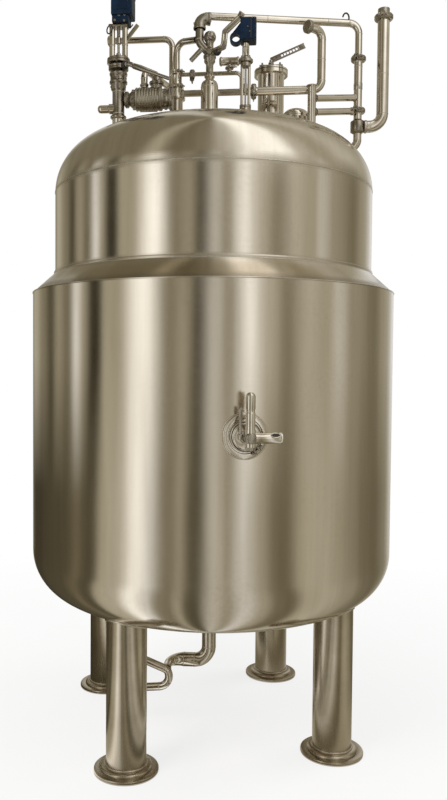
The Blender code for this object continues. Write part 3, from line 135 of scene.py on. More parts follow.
# Left valve column, over its own roof nozzle
LEFT_X = -0.370
LEFT_Y = -0.200
LEFT_NOZZLE_RISE = 0.012
LEFT_VALVE_HEIGHT = 0.222
LEFT_YOKE_HEIGHT = 0.143
LEFT_NOZZLE_TOP_Z = ROOF_TOP_Z + LEFT_NOZZLE_RISE
LEFT_VALVE_TOP_Z = LEFT_NOZZLE_TOP_Z + LEFT_VALVE_HEIGHT
LEFT_YOKE_TOP_Z = LEFT_VALVE_TOP_Z + LEFT_YOKE_HEIGHT
LEFT_PLATE_RADIUS = 0.046
YOKE_PLATE = 0.010
LEFT_POST_SPREAD = 0.026
LEFT_POST_RADIUS = 0.0115
LEFT_STEM_RADIUS = 0.0070
LEFT_ACTUATOR_WIDTH = 0.088
LEFT_ACTUATOR_SHIFT = 0.018
LEFT_ACTUATOR_DEPTH = 0.086
LEFT_ACTUATOR_HEIGHT = 0.128
LEFT_ACTUATOR_NECK = 0.068
LEFT_ACTUATOR_NECK_SHIFT = 0.012
LEFT_ACTUATOR_NECK_HEIGHT = 0.028
LEFT_CUP_RADIUS = 0.040
LEFT_CUP_DROP = 0.026
LEFT_RING_RADIUS = 0.036
LEFT_BODY_RADIUS = 0.030
LEFT_HANDLE_RADIUS = 0.0100
LEFT_HANDLE_REACH = 0.172
LEFT_HANDLE_SIDE = 0.020
LEFT_HANDLE_DROP = 0.070

# Valve block beside the left column
BLOCK_RISE = 0.070
BLOCK_LENGTH = 0.1956
BLOCK_NECK = 0.024
BLOCK_RADIUS = 0.046
BONNET_PLACE = 0.130
BLOCK_Z = LEFT_NOZZLE_TOP_Z + BLOCK_RISE
BLOCK_START_X = LEFT_X + LARGE_TUBE + GAP
BLOCK_END_X = BLOCK_START_X + BLOCK_LENGTH

# Return stack
RETURN_X = -0.1505
RETURN_Y = -0.060
RETURN_RISE = 0.241
RETURN_STACK_HEIGHT = 0.115
RETURN_TOP_Z = ROOF_TOP_Z + RETURN_RISE

# Centre nozzle with its valve, lever and small handle
CENTRE_X = -0.008
CENTRE_Y = -0.130
CENTRE_NOZZLE_RADIUS = 0.035
CENTRE_NOZZLE_RISE = 0.191
CENTRE_VALVE_HEIGHT = 0.176
CENTRE_NECK_RADIUS = 0.0150
CENTRE_BODY_RADIUS = 0.0225
CENTRE_BALL_RADIUS = 0.0250
CENTRE_BALL_RISE = 0.155
CENTRE_LEVER_RADIUS = 0.0110
CENTRE_LEVER_LOW = 0.088
CENTRE_LEVER_REACH = 0.132
CENTRE_LEVER_HEIGHT = 0.130
CENTRE_LEVER_SIDE = 0.058
CENTRE_LEVER_BEND = 0.060
CENTRE_HANDLE_RADIUS = 0.0095
CENTRE_HANDLE_REACH = 0.074
CENTRE_HANDLE_DROP = 0.040
CENTRE_NOZZLE_TOP_Z = ROOF_TOP_Z + CENTRE_NOZZLE_RISE
CENTRE_VALVE_TOP_Z = CENTRE_NOZZLE_TOP_Z + CENTRE_VALVE_HEIGHT

# Supply pipe, ending in its coupling
SUPPLY_END_X = -0.460
SUPPLY_LAND = 0.115
SUPPLY_SLANT = 0.085
SUPPLY_Y = 0.035
SUPPLY_RISE = 0.332
SUPPLY_STEP = 0.119
SUPPLY_LAND_X = BLOCK_END_X - SUPPLY_LAND
SUPPLY_TURN_X = SUPPLY_LAND_X + SUPPLY_SLANT
SUPPLY_Z = BLOCK_Z + SUPPLY_RISE
SUPPLY_LOW_Z = BLOCK_Z + SUPPLY_STEP

# Header pipe, down pipe and riser
HEADER_OFFSET = 0.042
HEADER_TUBE = 0.0145
HEADER_ELBOW_RADIUS = 0.0255
HEADER_ELBOW_REACH = 0.044
HEADER_RISE = 0.067
DOWN_INSET = 0.060
DOWN_Y = 0.0
DOWN_LOWER_RISE = 0.077
DOWN_UPPER_RISE = 0.212
SHOULDER_NOZZLE_TILT = math.radians(37)
TEE_DROP = 0.065
TEE_RADIUS = 0.029
RISER_REACH = 0.100
RISER_RISE = 0.020
RISER_END = 0.035
HEADER_START_X = CENTRE_X - HEADER_OFFSET
HEADER_Z = CENTRE_VALVE_TOP_Z + HEADER_RISE
DOWN_X = VESSEL_RADIUS - DOWN_INSET
DOWN_LOWER_JOINT_Z = ROOF_TOP_Z + DOWN_LOWER_RISE
DOWN_UPPER_JOINT_Z = DOWN_LOWER_JOINT_Z + DOWN_UPPER_RISE
TEE_Z = DOWN_LOWER_JOINT_Z - TEE_DROP
RISER_X = DOWN_X + RISER_REACH
RISER_JOINT_Z = HEADER_Z + RISER_RISE
RISER_TOP_Z = RISER_JOINT_Z + RISER_END

# The bent pipe from the return stack to the valve's branch
RETURN_PIPE_DROP = 0.027
RETURN_PIPE_FALL = 0.019
RETURN_PIPE_Z = CENTRE_VALVE_TOP_Z - RETURN_PIPE_DROP

# Vent stack with its two links to the down pipe
LINK_REACH = 0.195
LINK_STEP = 0.055
LINK_FALL = 0.034
LINK_RADIUS = 0.0135
VENT_Y = -0.110
VENT_RISE = 0.149
VENT_X = DOWN_X - LINK_REACH
VENT_TOP_Z = ROOF_TOP_Z + VENT_RISE
LINK_UPPER_Z = DOWN_LOWER_JOINT_Z + LINK_STEP

# Right column
RIGHT_X = 0.142
RIGHT_Y = -0.300
RIGHT_BASE_RISE = 0.002
RIGHT_POST_HEIGHT = 0.173
RIGHT_NECK_HEIGHT = 0.076
RIGHT_BASE_TOP_Z = ROOF_TOP_Z + RIGHT_BASE_RISE
RIGHT_PLATE_Z = RIGHT_BASE_TOP_Z + RIGHT_POST_HEIGHT
RIGHT_YOKE_TOP_Z = RIGHT_PLATE_Z + RIGHT_NECK_HEIGHT
RIGHT_PLATE_RADIUS = 0.028
RIGHT_POST_SPREAD = 0.0135
RIGHT_POST_RADIUS = 0.0060
RIGHT_ACTUATOR_WIDTH = 0.062
RIGHT_ACTUATOR_DEPTH = 0.070
RIGHT_ACTUATOR_HEIGHT = 0.084
RIGHT_ACTUATOR_SHIFT = 0.0095
RIGHT_LOBE_RADIUS = 0.023
RIGHT_LOBE_BORE = 0.0150
RIGHT_LOBE_THICKNESS = 0.030

# Cross pipe and inner loop
CROSS_Y = RETURN_Y
CROSS_DROP = 0.092
CROSS_JOINT_X = 0.170
LOOP_INSET = 0.155
LOOP_HEIGHT = 0.235
LOOP_BACK = 0.055
LOOP_SIDE = 0.045
CROSS_Z = RETURN_TOP_Z - CROSS_DROP
LOOP_X = DOWN_X - LOOP_INSET
LOOP_TOP_Z = CROSS_Z + LOOP_HEIGHT

# Slim line with a small filter over the cross pipe, which ties back into it
SLIM_TUBE = 0.0085
SLIM_RISE = 0.078
SLIM_DROP_X = 0.120
SLIM_CLAMP_X = -0.085
FILTER_X = 0.069
FILTER_LENGTH = 0.086
FILTER_RISE = 0.048
SLIM_Z = CROSS_Z + SLIM_RISE

# Hand hole
HAND_INSET = 0.3585
HAND_Y = 0.100
HAND_NECK_RADIUS = 0.056
HAND_NECK_WALL = 0.004
HAND_RIM_RADIUS = 0.072
HAND_RIM_RISE = 0.281
HAND_RIM_THICKNESS = 0.016
HAND_LID_THICKNESS = 0.018
HAND_ARM_HEIGHT = 0.020
HAND_ARM_RADIUS = 0.012
HAND_BAR_SIZE = (0.100, 0.034, 0.008)
HAND_LEVER_RADIUS = 0.0135
HAND_LEVER_REACH = 0.146
HAND_LEVER_ELBOW = 0.016
HAND_LEVER_HEIGHT = 0.076
HAND_X = DOWN_X - HAND_INSET
HAND_RIM_Z = ROOF_TOP_Z + HAND_RIM_RISE
HAND_ARM_Z = HAND_RIM_Z + HAND_LID_THICKNESS + HAND_ARM_HEIGHT

# Domed sight port beside the hand hole
SIGHT_INSET = 0.255
SIGHT_Y = -0.020
SIGHT_NECK_RADIUS = 0.045
SIGHT_RIM_RADIUS = 0.060
SIGHT_RISE = 0.042
SIGHT_RIM_THICKNESS = 0.014
SIGHT_DOME = 0.030
SIGHT_X = DOWN_X - SIGHT_INSET

# Colours, linear
SHELL_DARK = (0.60, 0.545, 0.455)
SHELL_LIGHT = (0.74, 0.685, 0.595)
SHELL_LINE = (0.66, 0.60, 0.51)
SHELL_STAIN = (0.36, 0.30, 0.22)
WELD_TINT = (0.47, 0.42, 0.345)
# Leg tones: the shell's steel made darker, a painted shade for the legs standing under the tank
LEG_PAINTED_SHADE_DARK = (0.44, 0.385, 0.300)
LEG_PAINTED_SHADE_LIGHT = (0.58, 0.520, 0.420)
BLUE_DARK = (0.0005, 0.007, 0.020)
BLUE_LIGHT = (0.0010, 0.014, 0.038)
BLUE_WORN = (0.02, 0.035, 0.06)
RUBBER_DARK = (0.012, 0.012, 0.011)
RUBBER_LIGHT = (0.035, 0.033, 0.030)

# Camera of the photograph
CAMERA_PLACE = Vector((0.2181, -3.3693, 1.5012))
CAMERA_YAW = -0.104
CAMERA_PITCH = -0.0387
CAMERA_ROLL = 0.0068
FOCAL_PIXELS = 787.0
FRAME_WIDTH, FRAME_HEIGHT = 447, 800
CENTRE_PIXEL_X = 179.93
SENSOR_WIDTH = 36.0
CAMERA_CLIP = (0.05, 100.0)

# Directions
UP = Vector((0.0, 0.0, 1.0))
TO_RIGHT = Vector((1.0, 0.0, 0.0))
TO_LEFT = Vector((-1.0, 0.0, 0.0))
TO_BACK = Vector((0.0, 1.0, 0.0))
TO_FRONT = Vector((0.0, -1.0, 0.0))

# Dished heads, as (radius, crown radius, knuckle radius)
ROOF_HEAD = (VESSEL_RADIUS, ROOF_CROWN_RADIUS, ROOF_KNUCKLE_RADIUS)
BOTTOM_HEAD = (JACKET_RADIUS, BOTTOM_CROWN_RADIUS, BOTTOM_KNUCKLE_RADIUS)

# The upright axes of the columns and openings on the roof
LEFT_AXIS = (LEFT_X, LEFT_Y)
RETURN_AXIS = (RETURN_X, RETURN_Y)
CENTRE_AXIS = (CENTRE_X, CENTRE_Y)
RIGHT_AXIS = (RIGHT_X, RIGHT_Y)
DOWN_AXIS = (DOWN_X, DOWN_Y)
HAND_AXIS = (HAND_X, HAND_Y)
SIGHT_AXIS = (SIGHT_X, SIGHT_Y)
VENT_AXIS = (VENT_X, VENT_Y)
HEADER_AXIS = (HEADER_START_X, CENTRE_Y)
RISER_AXIS = (RISER_X, DOWN_Y)
TEE_AXIS = (DOWN_X + TEE_RADIUS - 0.002, DOWN_Y)
LOOP_AXIS = (LOOP_X, CROSS_Y)
SUPPLY_TURN_AXIS = (SUPPLY_TURN_X, SUPPLY_Y)
SUPPLY_LAND_AXIS = (SUPPLY_LAND_X, LEFT_Y)
SLIM_AXIS = (SLIM_DROP_X, CROSS_Y)

# Sides of the big shells, the angle from which an edge stays sharp, and parts that are the same everywhere
FINE_SIDES = 224
SHARP_ANGLE = math.radians(32)
WASHER_THICKNESS = 0.0012
THREAD_PITCH = 0.0016

# The inputs of a material's shader, by the names used here
SHADER_INPUTS = {"colour": "Base Color", "metal": "Metallic", "rough": "Roughness",
    "shine": "Specular IOR Level", "normal": "Normal"}


def make_camera():
    data = bpy.data.cameras.new("camera")
    camera = bpy.data.objects.new("camera", data)
    bpy.context.scene.collection.objects.link(camera)
    flat = math.cos(CAMERA_PITCH)
    ahead = Vector((math.sin(CAMERA_YAW) * flat, math.cos(CAMERA_YAW) * flat, math.sin(CAMERA_PITCH)))
    level = Vector((math.cos(CAMERA_YAW), -math.sin(CAMERA_YAW), 0.0))
    upright = level.cross(ahead)
    right = level * math.cos(CAMERA_ROLL) + upright * math.sin(CAMERA_ROLL)
    up = upright * math.cos(CAMERA_ROLL) - level * math.sin(CAMERA_ROLL)
    camera.matrix_world = Matrix.Translation(CAMERA_PLACE) @ turned(right, up, -ahead).to_4x4()
    data.sensor_fit = "AUTO"
    data.sensor_width = SENSOR_WIDTH
    data.lens = FOCAL_PIXELS / FRAME_HEIGHT * SENSOR_WIDTH
    data.shift_x = (FRAME_WIDTH / 2 - CENTRE_PIXEL_X) / FRAME_HEIGHT
    data.clip_start, data.clip_end = CAMERA_CLIP
    bpy.context.scene.camera = camera


def turned(x, y, z):
    """The rotation that gives a form these three axes."""
    return Matrix((x, y, z)).transposed()


def edgewise(along):
    """The rotation of a flat bar that runs along a direction, with its edge to the front."""
    way = along.normalized()
    return turned(way, TO_BACK, way.cross(TO_BACK))


def angles(count, shift=0.0):
    """Angles evenly spread over a whole turn, moved on by a share of one step."""
    return [2 * math.pi * (i + shift) / count for i in range(count)]


def spokes(count, shift=0.0, over=TO_RIGHT, up=TO_BACK):
    """Directions evenly spread round an axis, between two directions square to it."""
    return [over * math.cos(turn) + up * math.sin(turn) for turn in angles(count, shift)]


class Nodes:
    """Short ways to make and join the nodes of one material."""

    def __init__(self, tree):
        self.tree = tree

    def add(self, kind, **values):
        node = self.tree.nodes.new(kind)
        for key, value in values.items():
            setattr(node, key, value)
        return node

    def feed(self, socket, value):
        if isinstance(value, bpy.types.NodeSocket):
            self.tree.links.new(value, socket)
        else:
            socket.default_value = value

    def fill(self, node, *values):
        """Feeds the first inputs of a node in turn, and gives its first output."""
        for socket, value in zip(node.inputs, values):
            self.feed(socket, value)
        return node.outputs[0]

    def math(self, operation, *values):
        return self.fill(self.add("ShaderNodeMath", operation=operation), *values)

    def times(self, first, second):
        return self.math("MULTIPLY", first, second)

    def plus(self, first, second):
        return self.math("ADD", first, second)

    def most(self, first, second):
        return self.math("MAXIMUM", first, second)

    def vector(self, x, y, z):
        return self.fill(self.add("ShaderNodeCombineXYZ"), x, y, z)

    def split(self, place):
        node = self.add("ShaderNodeSeparateXYZ")
        self.fill(node, place)
        return node.outputs

    def noise(self, place, scale, detail=3.0, roughness=0.55):
        node = self.add("ShaderNodeTexNoise")
        for name, value in (("Vector", place), ("Scale", scale), ("Detail", detail),
                ("Roughness", roughness)):
            self.feed(node.inputs[name], value)
        return node.outputs["Fac"]

    def spread(self, value, low, high, to_low, to_high):
        """A value carried from one range to another, and held inside it."""
        return self.fill(self.add("ShaderNodeMapRange"), value, low, high, to_low, to_high)

    def tint(self, share, first, second):
        """A mix of two colours."""
        node = self.add("ShaderNodeMix", data_type="RGBA")
        self.feed(node.inputs[0], share)
        for socket, value in ((node.inputs[6], first), (node.inputs[7], second)):
            self.feed(socket, (*value, 1.0) if isinstance(value, tuple) else value)
        return node.outputs[2]

    def bump(self, height, strength, distance, before=None):
        node = self.add("ShaderNodeBump")
        for name, value in (("Strength", strength), ("Distance", distance), ("Height", height)):
            self.feed(node.inputs[name], value)
        if before is not None:
            self.feed(node.inputs["Normal"], before)
        return node.outputs[0]

    def look(self, **values):
        """Feeds the inputs of the material's shader by name."""
        shader = self.tree.nodes["Principled BSDF"]
        for name, value in values.items():
            self.feed(shader.inputs[SHADER_INPUTS[name]], value)
        return shader

    def glow(self, colour, strength):
        """A shader that gives light of its own."""
        node = self.add("ShaderNodeEmission")
        self.fill(node, colour, strength)
        return node.outputs[0]

    def show(self, shader):
        self.feed(self.tree.nodes["Material Output"].inputs["Surface"], shader)

    def seen(self):
        """One where the camera looks straight, by a mirror or through glass, and nought for other light."""
        path = self.add("ShaderNodeLightPath").outputs
        return self.most(self.most(path["Is Camera Ray"], path["Is Glossy Ray"]),
            path["Is Transmission Ray"])


def new_material(name, source="ShaderNodeTexCoord", place="Object"):
    """A material, the helper for its nodes and the place that its patterns follow."""
    material = bpy.data.materials.new(name)
    material.use_nodes = True
    nodes = Nodes(material.node_tree)
    return material, nodes, nodes.add(source).outputs[place]


def shell_steel():
    """Brushed sheet on the big round shells: fine lines round the tank, soft streaks down it (partly its own
    tone, partly painted reflection), dull welds.
    """
    material, nodes, place = new_material("brushed_shell_steel")
    x, y, z = nodes.split(place)
    around = nodes.times(nodes.math("ARCTAN2", x, nodes.times(y, -1.0)), 0.7)
    streak_tone_and_painted_reflection = nodes.noise(nodes.vector(nodes.times(around, 14.0), nodes.times(z, 0.8), 0.0), 1.0, 5.0)
    lines = nodes.noise(nodes.vector(nodes.times(around, 3.0), nodes.times(z, 420.0), 0.0), 1.0, 3.0, 0.7)
    wave = nodes.noise(nodes.vector(nodes.times(around, 4.5), nodes.times(z, 1.3), 0.3), 1.0, 2.0, 0.4)
    cloud = nodes.noise(place, 2.3, 4.0)
    spots = nodes.noise(place, 60.0, 4.0, 0.7)
    # Shell colour from dark to light along the streaks: partly the sheet's own brushed tone, partly painted
    # reflection bands
    colour = nodes.tint(nodes.spread(streak_tone_and_painted_reflection, 0.3, 0.7, 0.0, 1.0), SHELL_DARK, SHELL_LIGHT)
    colour = nodes.tint(nodes.spread(lines, 0.25, 0.75, 0.0, 0.35), colour, SHELL_LINE)
    stain = nodes.spread(nodes.times(cloud, spots), 0.26, 0.46, 0.0, 0.14)
    near = 0.0
    for height in (ROOF_WELD_Z, SHOULDER_LOW_Z + 0.012, SHOULDER_TOP_Z + 0.006):
        away = nodes.math("ABSOLUTE", nodes.math("SUBTRACT", z, height))
        near = nodes.most(near, nodes.spread(away, 0.003, 0.016, 1.0, 0.0))
    colour = nodes.tint(nodes.times(near, 0.5), nodes.tint(stain, colour, SHELL_STAIN), WELD_TINT)
    rough = nodes.plus(nodes.spread(cloud, 0.3, 0.7, 0.09, 0.14), nodes.times(lines, 0.04))
    nodes.look(colour=colour, metal=1.0, rough=nodes.plus(rough, nodes.times(near, 0.12)),
        normal=nodes.bump(lines, 0.30, 0.00035, nodes.bump(wave, 0.35, 0.0035)))
    return material


def fitting_steel(name, light, dark, smooth_rough, dull_rough, grain, lift):
    """Polished or cast steel on the fittings, with fine grain, rubbed patches and faint stains."""
    material, nodes, place = new_material(name)
    cloud = nodes.noise(place, 11.0, 5.0)
    fine = nodes.noise(place, grain, 4.0, 0.65)
    colour = nodes.tint(nodes.spread(cloud, 0.3, 0.7, 0.0, 1.0), dark, light)
    worn = nodes.plus(nodes.times(cloud, 0.6), nodes.times(fine, 0.4))
    nodes.look(colour=nodes.tint(nodes.spread(fine, 0.55, 0.8, 0.0, 0.35), colour, SHELL_STAIN), metal=1.0,
        rough=nodes.spread(worn, 0.3, 0.7, smooth_rough, dull_rough), normal=nodes.bump(fine, 0.35, lift))
    return material


def leg_steel():
    """Drawn leg tube: lines along its length, darker, duller patches towards the floor."""
    material, nodes, place = new_material("leg_tube_steel")
    x, y, z = nodes.split(place)
    lines = nodes.noise(nodes.vector(nodes.times(x, 260.0), nodes.times(y, 260.0), nodes.times(z, 4.0)),
        1.0, 4.0, 0.65)
    cloud = nodes.noise(place, 7.0, 5.0)
    # The leg steel's tones are darker than the shell's: painted shade
    colour = nodes.tint(nodes.spread(cloud, 0.3, 0.7, 0.0, 1.0), LEG_PAINTED_SHADE_DARK, LEG_PAINTED_SHADE_LIGHT)
    # Patches that get darker and duller towards the floor
    darkening_towards_floor = nodes.times(nodes.spread(z, 0.02, 0.30, 1.0, 0.0), nodes.spread(cloud, 0.35, 0.65, 0.0, 0.6))
    rough = nodes.plus(nodes.spread(lines, 0.3, 0.7, 0.17, 0.27), nodes.times(darkening_towards_floor, 0.15))
    nodes.look(colour=nodes.tint(darkening_towards_floor, colour, SHELL_STAIN), metal=1.0, rough=rough,
        normal=nodes.bump(lines, 0.25, 0.0004))
    return material


def blue_coating():
    material, nodes, place = new_material("blue_coating_look")
    cloud = nodes.noise(place, 24.0, 4.0)
    colour = nodes.tint(nodes.spread(cloud, 0.35, 0.65, 0.0, 1.0), BLUE_DARK, BLUE_LIGHT)
    worn = nodes.spread(nodes.noise(place, 95.0, 5.0, 0.7), 0.66, 0.72, 0.0, 0.5)
    nodes.look(colour=nodes.tint(worn, colour, BLUE_WORN), rough=nodes.spread(cloud, 0.3, 0.7, 0.34, 0.46),
        shine=0.3, normal=nodes.bump(nodes.noise(place, 330.0, 2.0, 0.5), 0.22, 0.0006))
    return material


def weld_steel():
    material, nodes, place = new_material("weld_steel")
    ripple = nodes.noise(place, 240.0, 3.0, 0.6)
    nodes.look(colour=nodes.tint(nodes.noise(place, 30.0, 3.0), WELD_TINT, SHELL_LIGHT), metal=1.0,
        rough=nodes.spread(ripple, 0.3, 0.7, 0.24, 0.42), normal=nodes.bump(ripple, 0.6, 0.0012))
    return material


def gasket_rubber():
    material, nodes, place = new_material("gasket_rubber")
    fine = nodes.noise(place, 400.0, 3.0, 0.6)
    colour = nodes.tint(fine, RUBBER_DARK, RUBBER_LIGHT)
    nodes.look(colour=colour, rough=nodes.spread(fine, 0.3, 0.7, 0.50, 0.75), normal=nodes.bump(fine, 0.3,
        0.0004))
    return material


SHELL = shell_steel()
LEG = leg_steel()
TUBE = fitting_steel("polished_tube_steel", (0.74, 0.69, 0.61), (0.56, 0.51, 0.43), 0.05, 0.12, 140.0,
    0.0005)
CAST = fitting_steel("cast_valve_steel", (0.46, 0.42, 0.35), (0.25, 0.22, 0.18), 0.18, 0.34, 260.0, 0.0011)
BOLT = fitting_steel("bolt_steel", (0.58, 0.55, 0.49), (0.38, 0.35, 0.30), 0.16, 0.30, 420.0, 0.0004)
WELD = weld_steel()
BLUE = blue_coating()
RUBBER = gasket_rubber()


def soften(profile, reach):
    """Small chamfers at the corners of a profile, so that its edges catch the light."""
    points = [Vector(point) for point in profile]
    soft = [points[0]]
    for before, corner, after in zip(points, points[1:], points[2:]):
        inward = before - corner
        outward = after - corner
        short = min(inward.length, outward.length)
        if short < 0.0002 or inward.angle(outward) > math.radians(150):
            soft.append(corner)
            continue
        cut = min(reach, short * 0.35)
        soft += [corner + inward.normalized() * cut, corner + outward.normalized() * cut]
    soft.append(points[-1])
    return [(point.x, point.y) for point in soft]


def disc(radius, high, low=0.0):
    """The profile of a plain round disc."""
    return [(0.0, high), (radius, high), (radius, low), (0.0, low)]


def hoop(outer, inner, high, low):
    """The closed profile of a square ring."""
    return [(outer, high), (outer, low), (inner, low), (inner, high)]


def groove(radius, height, depth, half):
    """Three points of a profile that cut a fine groove into a rim."""
    return [(radius, height + half), (radius - depth, height), (radius, height - half)]


def arc(centre, reach, first, last, steps):
    """Points of an arc between two angles in degrees, with its reach given as (across, up)."""
    turns = [math.radians(first + (last - first) * step / steps) for step in range(steps + 1)]
    return [(centre[0] + reach[0] * math.cos(turn), centre[1] + reach[1] * math.sin(turn))
        for turn in turns]


def rounded_route(corners, bend, steps=9):
    """A pipe's centre line, with an arc in place of each inner corner, and the ends of the arcs."""
    corners = [Vector(corner) for corner in corners]
    route = [corners[0]]
    joints = []
    for before, corner, after in zip(corners, corners[1:], corners[2:]):
        inward = (before - corner).normalized()
        outward = (after - corner).normalized()
        half = inward.angle(outward) / 2
        reach = bend / math.tan(half)
        centre = corner + (inward + outward).normalized() * (bend / math.sin(half))
        start = corner + inward * reach - centre
        turn = math.pi - 2 * half
        axis = start.cross(corner + outward * reach - centre).normalized()
        for step in range(steps + 1):
            route.append(centre + Matrix.Rotation(turn * step / steps, 3, axis) @ start)
        joints += [(corner + inward * reach, inward), (corner + outward * reach, outward)]
    route.append(corners[-1])
    return route, joints


def short_of(target, origin, distance):
    return target + (origin - target).normalized() * distance


def at(axis, z):
    return Vector((*axis, z))


def skin(form, upper, lower):
    """Faces between two rings of points; a ring of one point closes the end."""
    count = max(len(upper), len(lower))
    if count == 1:
        return
    for i in range(count):
        j = (i + 1) % count
        if len(upper) == 1:
            form.faces.new((upper[0], lower[i], lower[j]))
        elif len(lower) == 1:
            form.faces.new((upper[i], lower[0], upper[j]))
        else:
            form.faces.new((upper[i], lower[i], lower[j], upper[j]))


class Shape:
    """One piece of the object, gathered from turned, bent and block forms in one mesh."""

    def __init__(self):
        self.mesh = bmesh.new()
        self.tones = []

    def gather(self, form, tone):
        if tone not in self.tones:
            self.tones.append(tone)
        bmesh.ops.recalc_face_normals(form, faces=form.faces)
        for face in form.faces:
            face.material_index = self.tones.index(tone)
        holder = bpy.data.meshes.new("form")
        form.to_mesh(holder)
        form.free()
        self.mesh.from_mesh(holder)
        bpy.data.meshes.remove(holder)

    def turn(self, profile, tone, place=(0, 0, 0), direction=UP, sides=48, closed=False, soft=0.0012):
        """A profile of (radius, height) points turned about an axis."""
        if soft:
            profile = soften(profile, soft)
        seat = Matrix.Translation(place) @ Vector(direction).to_track_quat("Z", "Y").to_matrix().to_4x4()
        form = bmesh.new()
        rings = []
        for radius, height in profile:
            points = [Vector((radius * math.cos(angle), radius * math.sin(angle), height))
                for angle in (angles(sides) if radius > 0.000001 else [0.0])]
            rings.append([form.verts.new(seat @ point) for point in points])
        for upper, lower in zip(rings, rings[1:]):
            skin(form, upper, lower)
        if closed:
            skin(form, rings[-1], rings[0])
        self.gather(form, tone)

    def tube(self, route, radius, tone, sides=24, end_radius=None, taper=(0.0, 1.0), closed=False):
        """A round section along a route. With an end radius it tapers between two shares of the route."""
        form = bmesh.new()
        count = len(route)
        side = (route[1] - route[0]).orthogonal().normalized()
        rings = []
        gone = 0.0
        whole = sum((b - a).length for a, b in zip(route, route[1:]))
        for i, place in enumerate(route):
            if closed:
                ahead = (route[(i + 1) % count] - route[i - 1]).normalized()
            else:
                ahead = (route[min(i + 1, count - 1)] - route[max(i - 1, 0)]).normalized()
            if i:
                gone += (place - route[i - 1]).length
            wide = radius
            if end_radius is not None:
                share = min(max((gone / whole - taper[0]) / (taper[1] - taper[0]), 0.0), 1.0)
                wide = radius + (end_radius - radius) * share
            side = (side - ahead * side.dot(ahead)).normalized()
            ways = spokes(sides, 0.0, side, ahead.cross(side))
            rings.append([form.verts.new(place + way * wide) for way in ways])
        for upper, lower in zip(rings, rings[1:]):
            skin(form, upper, lower)
        if closed:
            skin(form, rings[-1], rings[0])
        else:
            skin(form, [form.verts.new(route[0])], rings[0])
            skin(form, rings[-1], [form.verts.new(route[-1])])
        self.gather(form, tone)

    def pipe(self, corners, radius, bend, tone=TUBE, sides=28, welds=True):
        """A pipe along rounded corners, with a thin weld ring at both ends of each elbow."""
        route, joints = rounded_route(corners, bend)
        self.tube(route, radius, tone, sides)
        if welds:
            for place, direction in joints:
                self.seam(place, direction, radius)

    def seam(self, place, direction, radius, width=0.0022, lift=0.0006):
        """A thin raised ring, as left by a butt weld."""
        self.turn([(radius - 0.0002, width), (radius + lift, width * 0.4), (radius + lift, -width * 0.4),
            (radius - 0.0002, -width)], WELD, place, direction, sides=28, soft=0.0)

    def bead(self, route, radius):
        """A weld bead along a closed route."""
        self.tube(route, radius, WELD, sides=10, closed=True)

    def block(self, size, place, tone, turn=None, bevel=0.0015, segments=2):
        form = bmesh.new()
        bmesh.ops.create_cube(form, size=1.0)
        bmesh.ops.scale(form, vec=size, verts=form.verts)
        bmesh.ops.bevel(form, geom=list(form.edges), offset=bevel, segments=segments, profile=0.6,
            affect="EDGES")
        seat = Matrix.Translation(place) @ (turn or Matrix.Identity(3)).to_4x4()
        bmesh.ops.transform(form, matrix=seat, verts=form.verts)
        self.gather(form, tone)

    def plate(self, outline, thickness, y, tone):
        """An upright plate with a given outline of (x, z) points."""
        form = bmesh.new()
        front, back = [[form.verts.new((x, y + side * thickness / 2, z)) for x, z in outline]
            for side in (-1, 1)]
        form.faces.new(front)
        form.faces.new(back[::-1])
        for i in range(len(outline)):
            after = (i + 1) % len(outline)
            form.faces.new((front[i], back[i], back[after], front[after]))
        bmesh.ops.recalc_face_normals(form, faces=form.faces)
        edges = [edge for edge in form.edges if edge.calc_face_angle() > 0.3]
        bmesh.ops.bevel(form, geom=edges, offset=0.0012, segments=2, profile=0.6, affect="EDGES")
        self.gather(form, tone)

    def rod(self, start, end, radius, tone, sides=20, soft=0.0008):
        start, end = Vector(start), Vector(end)
        self.turn(disc(radius, (end - start).length), tone, start, end - start, sides=sides, soft=soft)

    def nut(self, place, direction, radius, height):
        """A hexagon nut or bolt head with chamfered corners, sitting on a face."""
        profile = [(0.0, height), (radius * 0.80, height), (radius, height * 0.82), (radius, height * 0.12),
            (radius * 0.86, 0.0), (0.0, 0.0)]
        self.turn(profile, BOLT, place, direction, sides=6, soft=0.0)

    def stud(self, place, direction, radius, length, head=0.0035):
        """A washer, a nut and a thread end that stand on a face."""
        rise = WASHER_THICKNESS
        self.turn(disc(radius * 2.1, rise), BOLT, place, direction, sides=24, soft=0.0003)
        self.nut(place + direction * rise, direction, radius * 1.8, head)
        self.thread(place + direction * (rise + head), direction, radius, length - head)

    def thread(self, place, direction, radius, length):
        """A short threaded end, as rings of crest and root."""
        profile = [(0.0, length), (radius * 0.8, length)]
        height = length - 0.0004
        while height > THREAD_PITCH:
            profile.append((radius, height - THREAD_PITCH * 0.25))
            profile.append((radius * 0.84, height - THREAD_PITCH * 0.75))
            height -= THREAD_PITCH
        profile += [(radius * 0.84, 0.0), (0.0, 0.0)]
        self.turn(profile, BOLT, place, direction, sides=16, soft=0.0)

    def screw(self, place, direction, radius, height):
        """A socket head screw: a low round head with a recess."""
        profile = [(0.0, height * 0.35), (radius * 0.5, height * 0.35), (radius * 0.5, height),
            (radius * 0.9, height), (radius, height * 0.75), (radius, 0.0), (0.0, 0.0)]
        self.turn(profile, BOLT, place, direction, sides=18, soft=0.0)

    def lugs(self, spot, side, axis, size, gap, bevel=0.002, segments=2):
        """Two lugs beside each other on the rim of a ring; gives the way across them."""
        across = axis.cross(side)
        for sign in (-1, 1):
            self.block(size, spot + across * sign * gap, CAST, turned(side, across, axis), bevel, segments)
        return across

    def bolt(self, spot, across, ends, radius, gap, nut_radius, nut_heights, sides=12):
        """A bolt through two lugs, with a nut at both sides."""
        self.rod(spot - across * ends[0], spot + across * ends[1], radius, BOLT, sides=sides)
        self.nut(spot + across * gap, across, nut_radius, nut_heights[0])
        self.nut(spot - across * gap, -across, nut_radius, nut_heights[1])

